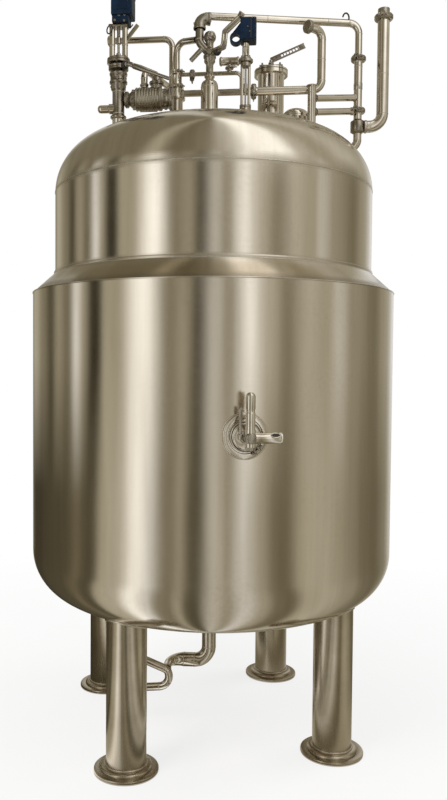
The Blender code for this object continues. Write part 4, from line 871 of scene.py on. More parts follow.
    def clamp(self, place, along, radius, side, height=CLAMP_HEIGHT, rim=FERRULE_RIM, wall=CLAMP_WALL,
            wings=True):
        """Two ferrules held by a hinged clamp ring, with its bolt and wing nut on one side."""
        side = Vector(side)
        side = (side - along * side.dot(along)).normalized()
        edge = radius + rim
        half = height / 2
        flare = [(radius, half * 1.35), (radius + 0.0015, half), (edge - 0.002, half * 0.75),
            (edge - 0.002, -half * 0.75), (radius + 0.0015, -half), (radius, -half * 1.35)]
        self.turn(flare, TUBE, place, along, sides=40, soft=0.0)
        outer = edge + wall
        ring = [(radius + 0.003, half), (outer - 0.004, half), (outer, half * 0.55), (outer, -half * 0.55),
            (outer - 0.004, -half), (radius + 0.003, -half)]
        self.turn(ring, CAST, place, along, sides=40, closed=True)
        lug = outer + 0.004
        across = self.lugs(place + side * lug, side, along, (0.017, 0.0065, height * 0.92), 0.0065, 0.0022,
            3)
        self.block((0.004, 0.0035, height * 0.9), place + side * outer, RUBBER, turned(side, across, along),
            bevel=0.0004)
        bolt = place + side * (lug + 0.002)
        self.rod(bolt - across * 0.018, bolt + across * 0.026, 0.0030, BOLT, sides=12)
        self.turn([(0.0, 0.006), (0.006, 0.0045), (0.007, 0.0), (0.0, 0.0)], BOLT, bolt - across * 0.0098,
            -across, sides=20)
        seat = bolt + across * 0.0098
        self.turn([(0.0, 0.009), (0.0045, 0.009), (0.0062, 0.0), (0.0, 0.0)], BOLT, seat, across, sides=20)
        for sign in (-1, 1) if wings else ():
            lean = (side * sign * 0.9 + across * 0.45).normalized()
            self.block((0.013, 0.0032, 0.008), seat + across * 0.006 + lean * 0.009, BOLT,
                turned(lean, along, lean.cross(along)), bevel=0.0012)
        hinge = place - side * (outer + 0.001)
        self.rod(hinge - along * half, hinge + along * half, 0.0042, CAST, sides=14)

    def foot_ring(self, axis, radius, lift=0.0030):
        """The weld where a round neck meets the roof."""
        route = []
        for angle in angles(48):
            x, y = axis[0] + radius * math.cos(angle), axis[1] + radius * math.sin(angle)
            route.append(Vector((x, y, roof_height(x, y) + lift * 0.2)))
        self.bead(route, lift)

    def finish(self, name, node, slot="polished_steel"):
        """Makes the piece, which stands in for one node of the CAD frame."""
        mesh = bpy.data.meshes.new(name)
        self.mesh.to_mesh(mesh)
        self.mesh.free()
        mesh.shade_smooth()
        mesh.set_sharp_from_angle(angle=SHARP_ANGLE)
        for tone in self.tones:
            mesh.materials.append(tone)
        piece = bpy.data.objects.new(name, mesh)
        bpy.context.scene.collection.objects.link(piece)
        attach(piece, "root")
        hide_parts(node)


def head_line(radius, crown, knuckle, knuckle_steps=18):
    """(radius, rise) points of a dished head, from its rim to its middle."""
    tangent = math.asin((radius - knuckle) / (crown - knuckle))
    turn = 90 - math.degrees(tangent)
    sink = (crown - knuckle) * math.cos(tangent)
    line = arc((radius - knuckle, 0.0), (knuckle, knuckle), 0, turn, knuckle_steps)
    return line + arc((0.0, -sink), (crown, crown), turn, 90, 22)[1:]


def head_rise(x, y, radius, crown, knuckle):
    """How far a dished head stands over its rim at a point."""
    away = math.hypot(x, y)
    tangent = math.asin((radius - knuckle) / (crown - knuckle))
    if away > crown * math.sin(tangent):
        return math.sqrt(knuckle**2 - (away - radius + knuckle) ** 2)
    return math.sqrt(crown**2 - away**2) - (crown - knuckle) * math.cos(tangent)


def roof_height(x, y):
    return ROOF_WELD_Z + head_rise(x, y, *ROOF_HEAD)


BOTTOM_LINE = head_line(*BOTTOM_HEAD, 22)
BOTTOM_LOW_Z = JACKET_LOW_Z - BOTTOM_LINE[-1][1]


def shell(name, node, profile, closed=False, weld=None):
    """A big round shell of sheet, with a weld bead at a given (radius, height, lift)."""
    shape = Shape()
    shape.turn(profile, SHELL, sides=FINE_SIDES, closed=closed, soft=0.0)
    if weld:
        radius, z, lift = weld
        shape.turn([(radius - 0.001, z + lift * 2.2), (radius + lift * 0.7, z + lift * 1.2),
            (radius + lift, z), (radius + lift * 0.7, z - lift * 1.2), (radius - 0.001, z - lift * 2.2)],
            WELD, sides=FINE_SIDES, soft=0.0)
    shape.finish(name, node, "brushed_steel")


def make_shells():
    profile = hoop(VESSEL_RADIUS, VESSEL_RADIUS - VESSEL_WALL, ROOF_WELD_Z, VESSEL_LOW_Z)
    shell("upper_shell", "vessel_shell", profile, closed=True)
    inner = head_line(*(length - VESSEL_WALL for length in ROOF_HEAD))
    profile = [(radius, ROOF_WELD_Z + rise) for radius, rise in head_line(*ROOF_HEAD)[::-1] + inner]
    shell("roof_head", "top_head", profile, weld=(VESSEL_RADIUS, ROOF_WELD_Z, 0.0014))
    profile = hoop(JACKET_RADIUS, JACKET_RADIUS - JACKET_WALL, SHOULDER_LOW_Z, JACKET_LOW_Z)
    shell("jacket_sheet", "jacket_cladding", profile, closed=True)
    inner = head_line(*(length - JACKET_WALL for length in BOTTOM_HEAD))
    profile = [(radius, JACKET_LOW_Z - rise) for radius, rise in BOTTOM_LINE + inner[::-1]]
    shell("bottom_head", "jacket_bottom_head", profile)

    seat = VESSEL_RADIUS + GAP
    collar = seat + SHOULDER_RIM
    bead = SHOULDER_RIM / 2
    low, top = SHOULDER_LOW_Z, SHOULDER_TOP_Z
    high = top + SHOULDER_COLLAR
    profile = [(seat, high), (collar - 0.001, high), (collar, high - 0.002), (collar, top + 0.0015),
        (collar + 0.0035, top - 0.0025), (JACKET_RADIUS - SHOULDER_RIM, low + SHOULDER_RIM + 0.001)]
    profile += [(JACKET_RADIUS + bead * math.cos(turn), low + bead + bead * math.sin(turn))
        for turn in map(math.radians, (90, 55, 20, -20, -60))]
    profile += [(JACKET_RADIUS - SHOULDER_RIM, low), (seat, top - SHOULDER_RIM)]
    shell("shoulder_sheet", "shoulder_cone", profile, closed=True, weld=(collar, top + 0.001, 0.0010))

    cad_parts["vessel_bottom_head"].data.materials[0] = SHELL


def make_legs():
    wide, step, thick = FOOT_RADIUS, FOOT_STEP_RADIUS, FOOT_THICKNESS
    foot_top = thick + FOOT_STEP_HEIGHT
    for index, name in enumerate(("front_left", "front_right", "rear_right", "rear_left")):
        angle = LEG_FIRST_ANGLE + index * math.pi / 2
        x, y = LEG_CIRCLE_RADIUS * math.cos(angle), LEG_CIRCLE_RADIUS * math.sin(angle)
        leg = Shape()
        form = bmesh.new()
        low_ring, top_ring, seam = [], [], []
        for out in spokes(72):
            px, py = x + LEG_RADIUS * out.x, y + LEG_RADIUS * out.y
            top = JACKET_LOW_Z - head_rise(px, py, *BOTTOM_HEAD)
            low_ring.append(form.verts.new((px, py, foot_top)))
            top_ring.append(form.verts.new((px, py, top + 0.001)))
            seam.append(Vector((px, py, top)) + out * 0.0016 - UP * 0.0016)
        skin(form, top_ring, low_ring)
        leg.gather(form, LEG)
        leg.bead(seam, 0.0042)
        low_weld = Vector((x, y, foot_top + 0.0015))
        leg.bead([low_weld + out * (LEG_RADIUS + 0.0015) for out in spokes(60)], 0.0038)
        leg.finish("leg_tube_" + name, "leg_" + name, "brushed_steel")
        foot = Shape()
        foot.turn([(0.0, foot_top), (LEG_RADIUS + 0.004, foot_top), (LEG_RADIUS + 0.010, foot_top - 0.0015),
            (step - 0.006, foot_top - 0.0035), (step - 0.002, foot_top - 0.0065), (step, foot_top - 0.0105),
            (step, thick), (wide - 0.0050, thick), (wide - 0.0015, thick - 0.0015), (wide, thick - 0.0045),
            *groove(wide, 0.0062, 0.0022, 0.0006), (wide, 0.0), (0.0, 0.0)], LEG, (x, y, 0), sides=96,
            soft=0.0)
        foot.finish("foot_plate_" + name, "foot_" + name, "brushed_steel")


def make_port():
    spout, slim, high, tail = PORT_SPOUT_RADIUS, PORT_ROD_RADIUS, PORT_ROD_HEIGHT, PORT_STEM_TAIL
    out = Vector((math.sin(PORT_ANGLE), -math.cos(PORT_ANGLE), 0.0))
    side = Vector((math.cos(PORT_ANGLE), math.sin(PORT_ANGLE), 0.0))
    centre = UP * PORT_Z
    face = JACKET_RADIUS + PORT_FLANGE_THICKNESS
    thick = PORT_FLANGE_THICKNESS
    flange = Shape()
    flange.turn([(0.0, thick * 0.5), (PORT_CLAMP_RADIUS + 0.003, thick * 0.5),
        (PORT_CLAMP_RADIUS + 0.003, thick), (PORT_FLANGE_RADIUS - 0.003, thick),
        (PORT_FLANGE_RADIUS, thick - 0.003), (PORT_FLANGE_RADIUS, -0.006), (0.0, -0.006)], TUBE,
        centre + out * JACKET_RADIUS, out, sides=72)
    route = []
    reach = PORT_FLANGE_RADIUS + 0.001
    for way in spokes(60, 0.0, side * reach, UP * reach):
        flat = centre + out * JACKET_RADIUS + way
        away = Vector((flat.x, flat.y, 0.0)).normalized() * (JACKET_RADIUS + 0.001)
        route.append(Vector((away.x, away.y, flat.z)))
    flange.bead(route, 0.0028)
    flange.finish("port_pad", "port_flange")
    cover = Shape()
    deep = PORT_CLAMP_THICKNESS
    radius = PORT_CLAMP_RADIUS
    front = centre + out * face
    cover.turn([(0.0, deep), (radius * 0.40, deep), (radius * 0.44, deep - 0.002),
        (radius * 0.78, deep - 0.003), (radius * 0.80, deep * 0.72), (radius * 0.86, deep * 0.66),
        (radius * 0.86, deep * 0.60), (radius * 0.93, deep * 0.60), (radius * 0.96, deep * 0.46),
        (radius * 0.96, deep * 0.12), (radius * 0.90, 0.0), (0.0, 0.0)], TUBE, front, out, sides=72)
    cover.turn(hoop(radius * 0.905, radius * 0.84, deep * 0.645, deep * 0.50), RUBBER, front, out, sides=72,
        closed=True, soft=0.0)
    away = (side * 0.62 - UP * 0.78).normalized()
    lug = front + out * deep * 0.32 + away * (radius + 0.002)
    across = cover.lugs(lug, away, out, (0.020, 0.007, 0.017), 0.008)
    cover.bolt(lug + away * 0.003, across, (0.022, 0.026), 0.0036, 0.012, 0.0075, (0.006, 0.005), sides=14)
    cover.finish("port_clamped_cover", "port_cover")
    start = face + deep + 2 * GAP
    seat = centre + out * start
    middle = centre + out * (start + PORT_VALVE_REACH)
    valve = Shape()
    reach = PORT_VALVE_REACH
    body = PORT_VALVE_RADIUS
    valve.turn([(0.0, reach + body), (body * 0.70, reach + body), (body * 0.92, reach + body * 0.75),
        (body, reach + body * 0.3), (body, 0.024), (body * 0.80, 0.018), (body * 0.80, 0.0), (0.0, 0.0)],
        CAST, seat, out, sides=40)
    valve.turn([(body * 0.8, 0.010), (body * 1.12, 0.008), (body * 1.12, 0.002), (body * 0.8, 0.0)], BOLT,
        seat, out, sides=6, soft=0.0)
    top = PORT_STEM_HEIGHT
    dome = PORT_STEM_RADIUS
    bonnet = arc((0.0, top - dome), (dome, dome), 90, 0, 8) + [(dome, top - 0.055),
        (dome * 0.90, top - 0.057), (dome * 0.90, top - 0.066), (dome, top - 0.068), (dome, 0.030),
        (dome * 1.10, 0.026), (dome * 1.10, -tail), (0.0, -tail)]
    valve.turn(bonnet, TUBE, middle, sides=40)
    long = PORT_SPOUT_LENGTH
    bore = PORT_SPOUT_BORE
    deep = PORT_SPOUT_BORE_DEPTH
    valve.turn([(0.0, long - deep), (bore, long - deep), (bore, long), (spout, long), (spout, long - 0.008),
        (spout * 0.92, long - 0.012), (spout * 0.92, 0.034), (spout * 0.98, 0.030), (spout * 0.98, 0.0),
        (0.0, 0.0)], TUBE, middle, side, sides=40)
    mouth = middle + side * (long - 0.024)
    toward = (out * 0.80 + UP * 0.60).normalized()
    over = side.cross(toward)
    oval = spokes(32, 0.0, side * 0.0150, over * 0.0085)
    valve.tube([mouth + toward * (spout * 0.93) + way for way in oval], 0.0021, TUBE, sides=10, closed=True)
    valve.block((0.025, 0.013, 0.0030), mouth + toward * (spout * 0.90), RUBBER, turned(side, over, toward),
        bevel=0.0011)
    valve.nut(middle - UP * (tail + PORT_NUT_THICKNESS * 0.7), UP, PORT_NUT_RADIUS, PORT_NUT_THICKNESS)
    rod_place = centre + out * (start + body) - side * PORT_ROD_OFFSET
    valve.rod(rod_place + side * PORT_ROD_OFFSET, rod_place, slim * 1.25, CAST)
    valve.turn([(0.0, high), (slim * 0.9, high - slim * 0.6), (slim, high - slim * 1.2),
        (slim, high - 0.030), (slim * 0.75, high - 0.033), (slim * 0.75, 0.012), (slim * 1.3, 0.009),
        (slim * 1.3, -slim), (0.0, -slim)], BOLT, rod_place, sides=24)
    valve.finish("port_sampling_valve", "port_valve")


def make_outlet():
    low = BOTTOM_LOW_Z - OUTLET_DROP
    joint = Vector((-OUTLET_RUN, -DRAIN_FRONT, low))
    corner = Vector((-OUTLET_RUN, 0.0, low))
    top = UP * (BOTTOM_LOW_Z + 0.030)
    outlet = Shape()
    corners = [top, UP * low, corner, short_of(joint, corner, MIDDLE_TUBE + GAP)]
    steps = 12
    route, joints = rounded_route(corners, OUTLET_BEND, steps)
    gone = [0.0]
    for first, second in zip(route, route[1:]):
        gone.append(gone[-1] + (second - first).length)
    taper = (gone[steps + 2] / gone[-1], gone[2 * steps + 2] / gone[-1])
    outlet.tube(route, OUTLET_RADIUS, TUBE, sides=40, end_radius=MIDDLE_TUBE, taper=taper)
    for spot, way in joints[:3]:
        outlet.seam(spot, way, OUTLET_RADIUS)
    outlet.seam(joints[3][0], joints[3][1], MIDDLE_TUBE)
    outlet.turn([(OUTLET_RADIUS, -0.012), (OUTLET_RADIUS + 0.004, -0.001), (OUTLET_RADIUS + 0.006, 0.004),
        (OUTLET_RADIUS, 0.006)], WELD, (0, 0, BOTTOM_LOW_Z), sides=48, soft=0.0)
    outlet.finish("outlet_elbow_pipe", "outlet_pipe")
    drain = Shape()
    top_end = joint + Vector((-DRAIN_TOP_REACH, 0.0, DRAIN_TOP_RISE))
    turn = joint + Vector((DRAIN_CORNER_REACH, 0.0, -DRAIN_CORNER_DROP))
    low_end = joint + Vector((-DRAIN_LOW_REACH, 0.0, -DRAIN_LOW_DROP))
    drain.pipe([top_end, joint, turn, low_end], MIDDLE_TUBE, DRAIN_BEND, sides=32)
    rim = MIDDLE_TUBE + FERRULE_RIM
    half = FERRULE_THICKNESS
    for end, before in ((top_end, joint), (low_end, turn)):
        drain.turn([(0.0, half * 0.8), (rim * 0.82, half * 0.8), (rim * 0.86, half), (rim, half),
            *groove(rim, 0.0, 0.001, half * 0.2), (rim, -half * 0.5), (MIDDLE_TUBE, -half)], TUBE, end,
            end - before, sides=40)
    drain.turn([(MIDDLE_TUBE, 0.016), (MIDDLE_TUBE + 0.002, 0.012), (MIDDLE_TUBE + 0.002, 0.0)], WELD,
        short_of(joint, corner, MIDDLE_TUBE * 0.4) - (corner - joint).normalized() * 0.004, corner - joint,
        sides=32, soft=0.0)
    drain.finish("drain_line", "drain_pipe")


def neck(shape, axis, radius, top, rim=FERRULE_RIM):
    """A neck welded to the roof that ends in a ferrule."""
    edge = radius + rim
    thick = FERRULE_THICKNESS
    shape.turn([(0.0, top), (edge, top), (edge, top - thick * 0.4), (radius + rim * 0.45,
        top - thick * 0.85), (radius, top - thick * 1.3), (radius, roof_height(*axis) - 0.030)], TUBE,
        at(axis, 0), sides=44)
    shape.foot_ring(axis, radius + 0.001)


def round_flange(shape, axis, low, high, radius, bolts):
    """A round plate with a ring of bolts through it."""
    shape.turn(disc(radius, high, low), CAST, at(axis, 0), sides=56, soft=0.0018)
    for way in spokes(bolts, 0.5):
        shape.stud(at(axis, high) + way * (radius * 0.76), UP, 0.0028, 0.009)


def make_left_column():
    body, wide, bulge, slim = LEFT_BODY_RADIUS, LEFT_CUP_RADIUS, LEFT_RING_RADIUS, LARGE_TUBE
    thin, plate = LEFT_STEM_RADIUS, LEFT_PLATE_RADIUS
    base = Shape()
    neck(base, LEFT_AXIS, slim, LEFT_NOZZLE_TOP_Z)
    base.finish("left_roof_neck", "left_nozzle")
    low = LEFT_NOZZLE_TOP_Z + GAP
    height = LEFT_VALVE_TOP_Z - low
    cup = height - LEFT_CUP_DROP
    rim = slim + FERRULE_RIM
    middle = at(LEFT_AXIS, low)
    valve = Shape()
    valve.turn([(0.0, height), (plate, height), (plate, height - 0.010), (body, height - 0.0105),
        (body, cup + 0.012), (wide, cup + 0.008), *groove(wide, cup, 0.0015, 0.0015), (wide, cup - 0.008),
        (slim + 0.004, height - 0.0385), (slim, height - 0.042), (bulge, height - 0.047),
        (bulge, height - 0.054), (body, height - 0.060), (body, height - 0.075), (bulge, height - 0.080),
        (bulge, height - 0.087), (body, height - 0.092), (body, height - 0.112), (slim, height - 0.118),
        (slim, 0.010), (slim + 0.003, 0.007), (rim, 0.004), (rim, 0.0), (0.0, 0.0)], CAST, middle, sides=56,
        soft=0.0009)
    for level in (height - 0.0125, height - 0.0425):
        radius = body + 0.0012 if level > height - 0.02 else slim + 0.0014
        valve.turn(hoop(radius, radius - 0.004, 0.0014, -0.0014), RUBBER, at(LEFT_AXIS, low + level),
            sides=56, closed=True, soft=0.0)
    for z in (0.014, height - 0.122):
        valve.seam(at(LEFT_AXIS, low + z), UP, slim)
    for way in spokes(6, 0.5):
        valve.nut(middle + way * 0.039 + UP * (height - 0.010), -UP, 0.0048, 0.0038)
        valve.nut(middle + way * 0.0325 + UP * (height - 0.060), -UP, 0.0036, 0.0034)
        bolt = middle + way * 0.0325
        valve.rod(bolt + UP * (height - 0.080), bolt + UP * (height - 0.054), 0.0022, BOLT, sides=12)
    for way in spokes(5, 200 / 72):
        valve.screw(middle + UP * (height - 0.102) + way * (body - 0.0006), way, 0.0044, 0.0030)
    arm = at(LEFT_AXIS, low + 0.035)
    grooves = []
    for i in range(6):
        start = 0.070 - i * 0.0052
        grooves += [(0.016, start), (0.016, start - 0.0030), (0.0146, start - 0.0034),
            (0.0146, start - 0.0048)]
    valve.turn([(0.0, 0.084), (0.006, 0.0835), (0.011, 0.081), (0.0145, 0.077)] + grooves
        + [(0.016, 0.038), (0.020, 0.034), (0.020, 0.0), (0.0, 0.0)], TUBE, arm, TO_LEFT, sides=40,
        soft=0.0)
    valve.nut(arm + TO_LEFT * 0.034, TO_LEFT, 0.0205, 0.004)
    valve.finish("left_valve_body", "left_valve")

    yoke = Shape()
    foot = LEFT_VALVE_TOP_Z + GAP
    top = LEFT_YOKE_TOP_Z
    round_flange(yoke, LEFT_AXIS, foot, foot + YOKE_PLATE, plate - 0.0004, 6)
    width = LEFT_POST_SPREAD + LEFT_POST_RADIUS
    yoke.block((width * 2, 0.044, YOKE_PLATE), at(LEFT_AXIS, top - YOKE_PLATE / 2), CAST, bevel=0.003,
        segments=3)
    for sign in (-1, 1):
        x = LEFT_X + sign * LEFT_POST_SPREAD
        yoke.rod((x, LEFT_Y, foot + 0.004), (x, LEFT_Y, top - 0.004), LEFT_POST_RADIUS, TUBE, sides=32)
        yoke.nut((x, LEFT_Y, foot + YOKE_PLATE), UP, LEFT_POST_RADIUS * 1.28, 0.007)
        yoke.seam((x, LEFT_Y, foot + 0.064), UP, LEFT_POST_RADIUS, 0.0030, 0.0012)
    stem = [(0.0, top - foot - 0.004), (thin, top - foot - 0.004), (thin, 0.096), (thin * 1.45, 0.094),
        (thin * 1.45, 0.070), (thin * 0.75, 0.068), (thin * 0.75, 0.034), (thin * 1.25, 0.032),
        (thin * 1.25, 0.004), (0.0, 0.004)]
    yoke.turn(stem, BOLT, at(LEFT_AXIS, foot), sides=28, soft=0.0006)
    hook = Vector((LEFT_X - 0.033, LEFT_Y - 0.020, top - 0.022))
    ring = [hook + way for way in spokes(28, 0.0, TO_RIGHT * 0.0105, Vector((0.003, 0.0, 0.0165)))]
    yoke.tube(ring, 0.0027, RUBBER, sides=12, closed=True)
    pivot = Vector((LEFT_X + LEFT_POST_SPREAD + LEFT_POST_RADIUS, LEFT_Y - 0.004, top - 0.052))
    reach = Vector((0.043, 0.0, 0.053))
    way = reach.normalized()
    spin = edgewise(reach)
    yoke.block((reach.length, 0.0045, 0.0165), pivot + reach * 0.46, TUBE, spin, bevel=0.0018, segments=3)
    yoke.block((0.012, 0.0090, 0.0110), pivot, CAST, spin, bevel=0.0020)
    yoke.screw(pivot + way * 0.012 + TO_FRONT * 0.0022, TO_FRONT, 0.0036, 0.0026)
    hook = [pivot + Vector(step) for step in ((-0.002, 0, 0.040), (0.004, 0, 0.040), (0.011, 0, 0.042),
        (0.017, 0, 0.047), (0.021, 0, 0.053))]
    yoke.tube(hook, 0.0023, RUBBER, sides=12)
    yoke.finish("left_valve_yoke", "left_yoke")

    motor = Shape()
    neck_low = LEFT_YOKE_TOP_Z + GAP
    neck_top = neck_low + LEFT_ACTUATOR_NECK_HEIGHT
    neck_x = LEFT_X + LEFT_ACTUATOR_NECK_SHIFT
    centre = Vector((LEFT_X + LEFT_ACTUATOR_SHIFT, LEFT_Y, neck_top + LEFT_ACTUATOR_HEIGHT / 2))
    size = (LEFT_ACTUATOR_WIDTH, LEFT_ACTUATOR_DEPTH, LEFT_ACTUATOR_HEIGHT)
    bracket = LEFT_ACTUATOR_NECK_HEIGHT + 0.010
    motor.block((LEFT_ACTUATOR_NECK, LEFT_ACTUATOR_NECK, bracket), (neck_x, LEFT_Y, neck_low + bracket / 2),
        BLUE, bevel=0.005, segments=4)
    motor.block((size[0] - 0.002, size[1] - 0.002, size[2] * 0.60), centre - UP * size[2] * 0.20, BLUE,
        bevel=0.007, segments=5)
    motor.block((size[0], size[1], size[2] * 0.385), centre + UP * size[2] * 0.3075, BLUE, bevel=0.007,
        segments=5)
    motor.block((size[0] - 0.004, size[1] - 0.004, 0.004), centre + UP * size[2] * 0.108, RUBBER,
        bevel=0.001)
    for sx in (-1, 1):
        for sy in (-1, 1):
            spot = centre + Vector((sx * (size[0] / 2 - 0.011), sy * (size[1] / 2 - 0.011),
                size[2] / 2 - 0.003))
            motor.screw(spot, UP, 0.0042, 0.0024)
    face = LEFT_ACTUATOR_NECK / 2 - 0.001
    for sy in (-1, 1):
        for dx, dz in ((-0.022, 0.008), (-0.005, 0.027), (0.017, 0.027), (0.016, 0.005)):
            motor.screw(Vector((neck_x + dx, LEFT_Y + sy * face, neck_low + dz)), (0, sy, 0), 0.0050,
                0.0030)
        y = sy * (size[1] / 2 - 0.0006)
        motor.screw(centre + Vector((0.026, y, -0.012)), (0, sy, 0), 0.0030, 0.0022)
        motor.block((0.052, 0.0016, 0.030), centre + Vector((-0.006, y, -0.030)), BLUE, bevel=0.0006)
    motor.finish("left_blue_actuator", "left_actuator", "blue_coating")

    outward = Vector((1.0, -1.0, 0.0)).normalized()
    hub = at(LEFT_AXIS, LEFT_VALVE_TOP_Z - LEFT_CUP_DROP)
    grip = hub + outward * (wide + GAP)
    elbow = grip + outward * (wide / 2)
    end = elbow + Vector((LEFT_HANDLE_REACH, -LEFT_HANDLE_SIDE, -LEFT_HANDLE_DROP))
    way = (end - elbow).normalized()
    long = (end - elbow).length
    handle = Shape()
    handle.pipe([grip, elbow, end], LEFT_HANDLE_RADIUS * 0.62, wide / 2, BOLT, sides=24, welds=False)
    thick = LEFT_HANDLE_RADIUS
    handle.turn([(0.0, 0.0), (thick * 0.62, -0.001), (thick * 0.72, -0.006), (thick * 0.68, -long * 0.30),
        (thick * 0.78, -long * 0.52), (thick, -long * 0.66), (thick, -long * 0.84),
        (thick * 0.7, -long * 0.88)], CAST, end, way, sides=32)
    third = way.cross(TO_BACK).normalized()
    handle.tube([elbow + third * 0.0085 + way * long * 0.05, elbow + third * 0.0105 + way * long * 0.30,
        elbow + third * 0.0065 + way * long * 0.70], thick * 0.34, TUBE, sides=16)
    handle.block((0.020, 0.012, 0.018), elbow + way * long * 0.06 + third * 0.003, CAST,
        turned(way, TO_BACK, third), bevel=0.003, segments=3)
    handle.turn(disc(0.015, 0.010), RUBBER, grip, outward, sides=32, soft=0.001)
    handle.nut(grip + outward * 0.010, outward, 0.0092, 0.006)
    handle.finish("left_valve_handle", "left_handle")


def make_block():
    length = BLOCK_LENGTH
    wide = BLOCK_RADIUS
    slim = wide * 0.83
    place = Vector((BLOCK_START_X, LEFT_Y, BLOCK_Z))
    along = TO_RIGHT
    ribs = []
    reach = length - 0.052
    while reach > 0.058:
        ribs += [(wide, reach), (wide, reach - 0.0050), (wide * 0.955, reach - 0.0062),
            (wide * 0.955, reach - 0.0096)]
        reach -= 0.0110
    block = Shape()
    block.turn([(0.0, length), (wide, length), *groove(wide, length - 0.0060, 0.0014, 0.0008),
        (wide, length - 0.012), (slim, length - 0.016), (slim, length - 0.040), (wide, length - 0.045)]
        + ribs + [(wide, 0.050), (slim, 0.044), (slim * 0.92, 0.034), (BLOCK_NECK, 0.022), (0.032, 0.016),
        *groove(0.032, 0.011, 0.0015, 0.0005), (0.032, 0.006), (0.022, 0.0), (0.0, 0.0)], CAST, place,
        along, sides=64, soft=0.0005)
    for reach, radius in ((length - 0.028, slim), (0.039, slim * 0.95)):
        for way in spokes(7, 0.5, TO_BACK, UP):
            block.nut(place + along * reach + way * (radius - 0.001), way, 0.0060, 0.0046)
    for way in spokes(12, 0.5, TO_BACK, UP)[7:11]:
        block.block((0.070, 0.007, 0.006), place + along * 0.098 + way * (wide - 0.001), CAST,
            turned(along, along.cross(way), way), bevel=0.0016)
    for z_side in (-1, 1):
        lug = place + along * (length - 0.006) + Vector((0.0, -0.020, z_side * (wide - 0.004)))
        block.block((0.015, 0.018, 0.011), lug, CAST, bevel=0.002)
        block.rod(lug - along * 0.013, lug + along * 0.002, 0.0032, BOLT, sides=12)
    top = Vector((BLOCK_START_X + BONNET_PLACE, LEFT_Y, BLOCK_Z + wide - 0.012))
    block.turn([(0.0, 0.056), (0.010, 0.056), (0.0145, 0.0545), (0.018, 0.050), (0.018, 0.040),
        (0.0195, 0.036), (0.029, 0.032), *groove(0.029, 0.027, 0.0015, 0.0005), (0.029, 0.022),
        (0.022, 0.020), (0.022, 0.0), (0.0, 0.0)], CAST, top, sides=48, soft=0.0008)
    block.nut(top + UP * 0.0555, UP, 0.0066, 0.0042)
    for way in spokes(6):
        block.screw(top + way * 0.0250 + UP * 0.0335, UP, 0.0031, 0.0030)
    block.finish("left_block_valve", "block_valve")


def make_return_stack():
    neck_top = RETURN_TOP_Z - RETURN_STACK_HEIGHT
    base = Shape()
    neck(base, RETURN_AXIS, MIDDLE_TUBE + 0.010, neck_top, 0.010)
    base.finish("return_roof_neck", "return_nozzle")
    low = neck_top + GAP
    height = RETURN_TOP_Z - low
    wide = MIDDLE_TUBE + 0.020
    tee = Shape()
    tee.turn([(0.0, height), (0.028, height), *groove(0.028, height - 0.007, 0.0015, 0.001),
        (0.028, height - 0.014), (0.022, height - 0.020), (0.022, 0.060), (0.024, 0.056), (0.030, 0.052),
        *groove(0.030, 0.048, 0.0015, 0.0005), (0.030, 0.044), (0.024, 0.040), (0.024, 0.008),
        (wide, 0.005), (wide, 0.0), (0.0, 0.0)], TUBE, at(RETURN_AXIS, low), sides=52, soft=0.0008)
    side = Vector((0.55, -0.83, 0.0)).normalized()
    for z, radius in ((height - 0.007, 0.028), (0.048, 0.030)):
        spot = at(RETURN_AXIS, low + z) + side * (radius + 0.003)
        across = tee.lugs(spot, side, UP, (0.013, 0.0055, 0.015), 0.006, 0.0018)
        tee.bolt(spot, across, (0.015, 0.022), 0.0027, 0.009, 0.0055, (0.0055, 0.0040))
    tee.finish("return_clamped_tee", "return_tee")
    corner = at(RETURN_AXIS, RETURN_PIPE_Z + RETURN_PIPE_FALL)
    branch = at(HEADER_AXIS, RETURN_PIPE_Z)
    lean = SMALL_TUBE * RETURN_PIPE_FALL / (branch - corner).length
    bent = Shape()
    end = short_of(branch, corner, MIDDLE_TUBE + lean + GAP)
    bent.pipe([at(RETURN_AXIS, RETURN_TOP_Z + GAP), corner, end], SMALL_TUBE, 0.036)
    bent.finish("return_bent_pipe", "return_pipe")


def make_supply_pipe():
    supply = Shape()
    end = Vector((SUPPLY_END_X, SUPPLY_Y, SUPPLY_Z))
    foot = at(SUPPLY_LAND_AXIS, BLOCK_Z + BLOCK_RADIUS + GAP)
    supply.pipe([end + TO_RIGHT * 0.004, at(SUPPLY_TURN_AXIS, SUPPLY_Z), at(SUPPLY_TURN_AXIS, SUPPLY_LOW_Z),
        at(SUPPLY_LAND_AXIS, SUPPLY_LOW_Z), foot], SMALL_TUBE, 0.036)
    rim = SMALL_TUBE + FERRULE_RIM
    high = CLAMP_HEIGHT
    supply.turn([(0.0, -0.0060), (SMALL_TUBE - 0.002, -0.0060), (SMALL_TUBE - 0.002, 0.0),
        (rim * 0.80, 0.0), (rim * 0.84, -0.002), (rim, -0.003), (rim, -high + 0.003), (rim * 0.88, -high),
        (SMALL_TUBE + 0.002, -high * 1.1), (SMALL_TUBE, -high * 1.4)], TUBE, end, TO_LEFT, sides=44,
        soft=0.0008)
    supply.nut(end - TO_LEFT * 0.019, TO_LEFT, rim * 1.02, 0.014)
    supply.nut(foot + UP * 0.004, UP, SMALL_TUBE * 1.30, 0.012)
    supply.finish("supply_bent_pipe", "supply_pipe")


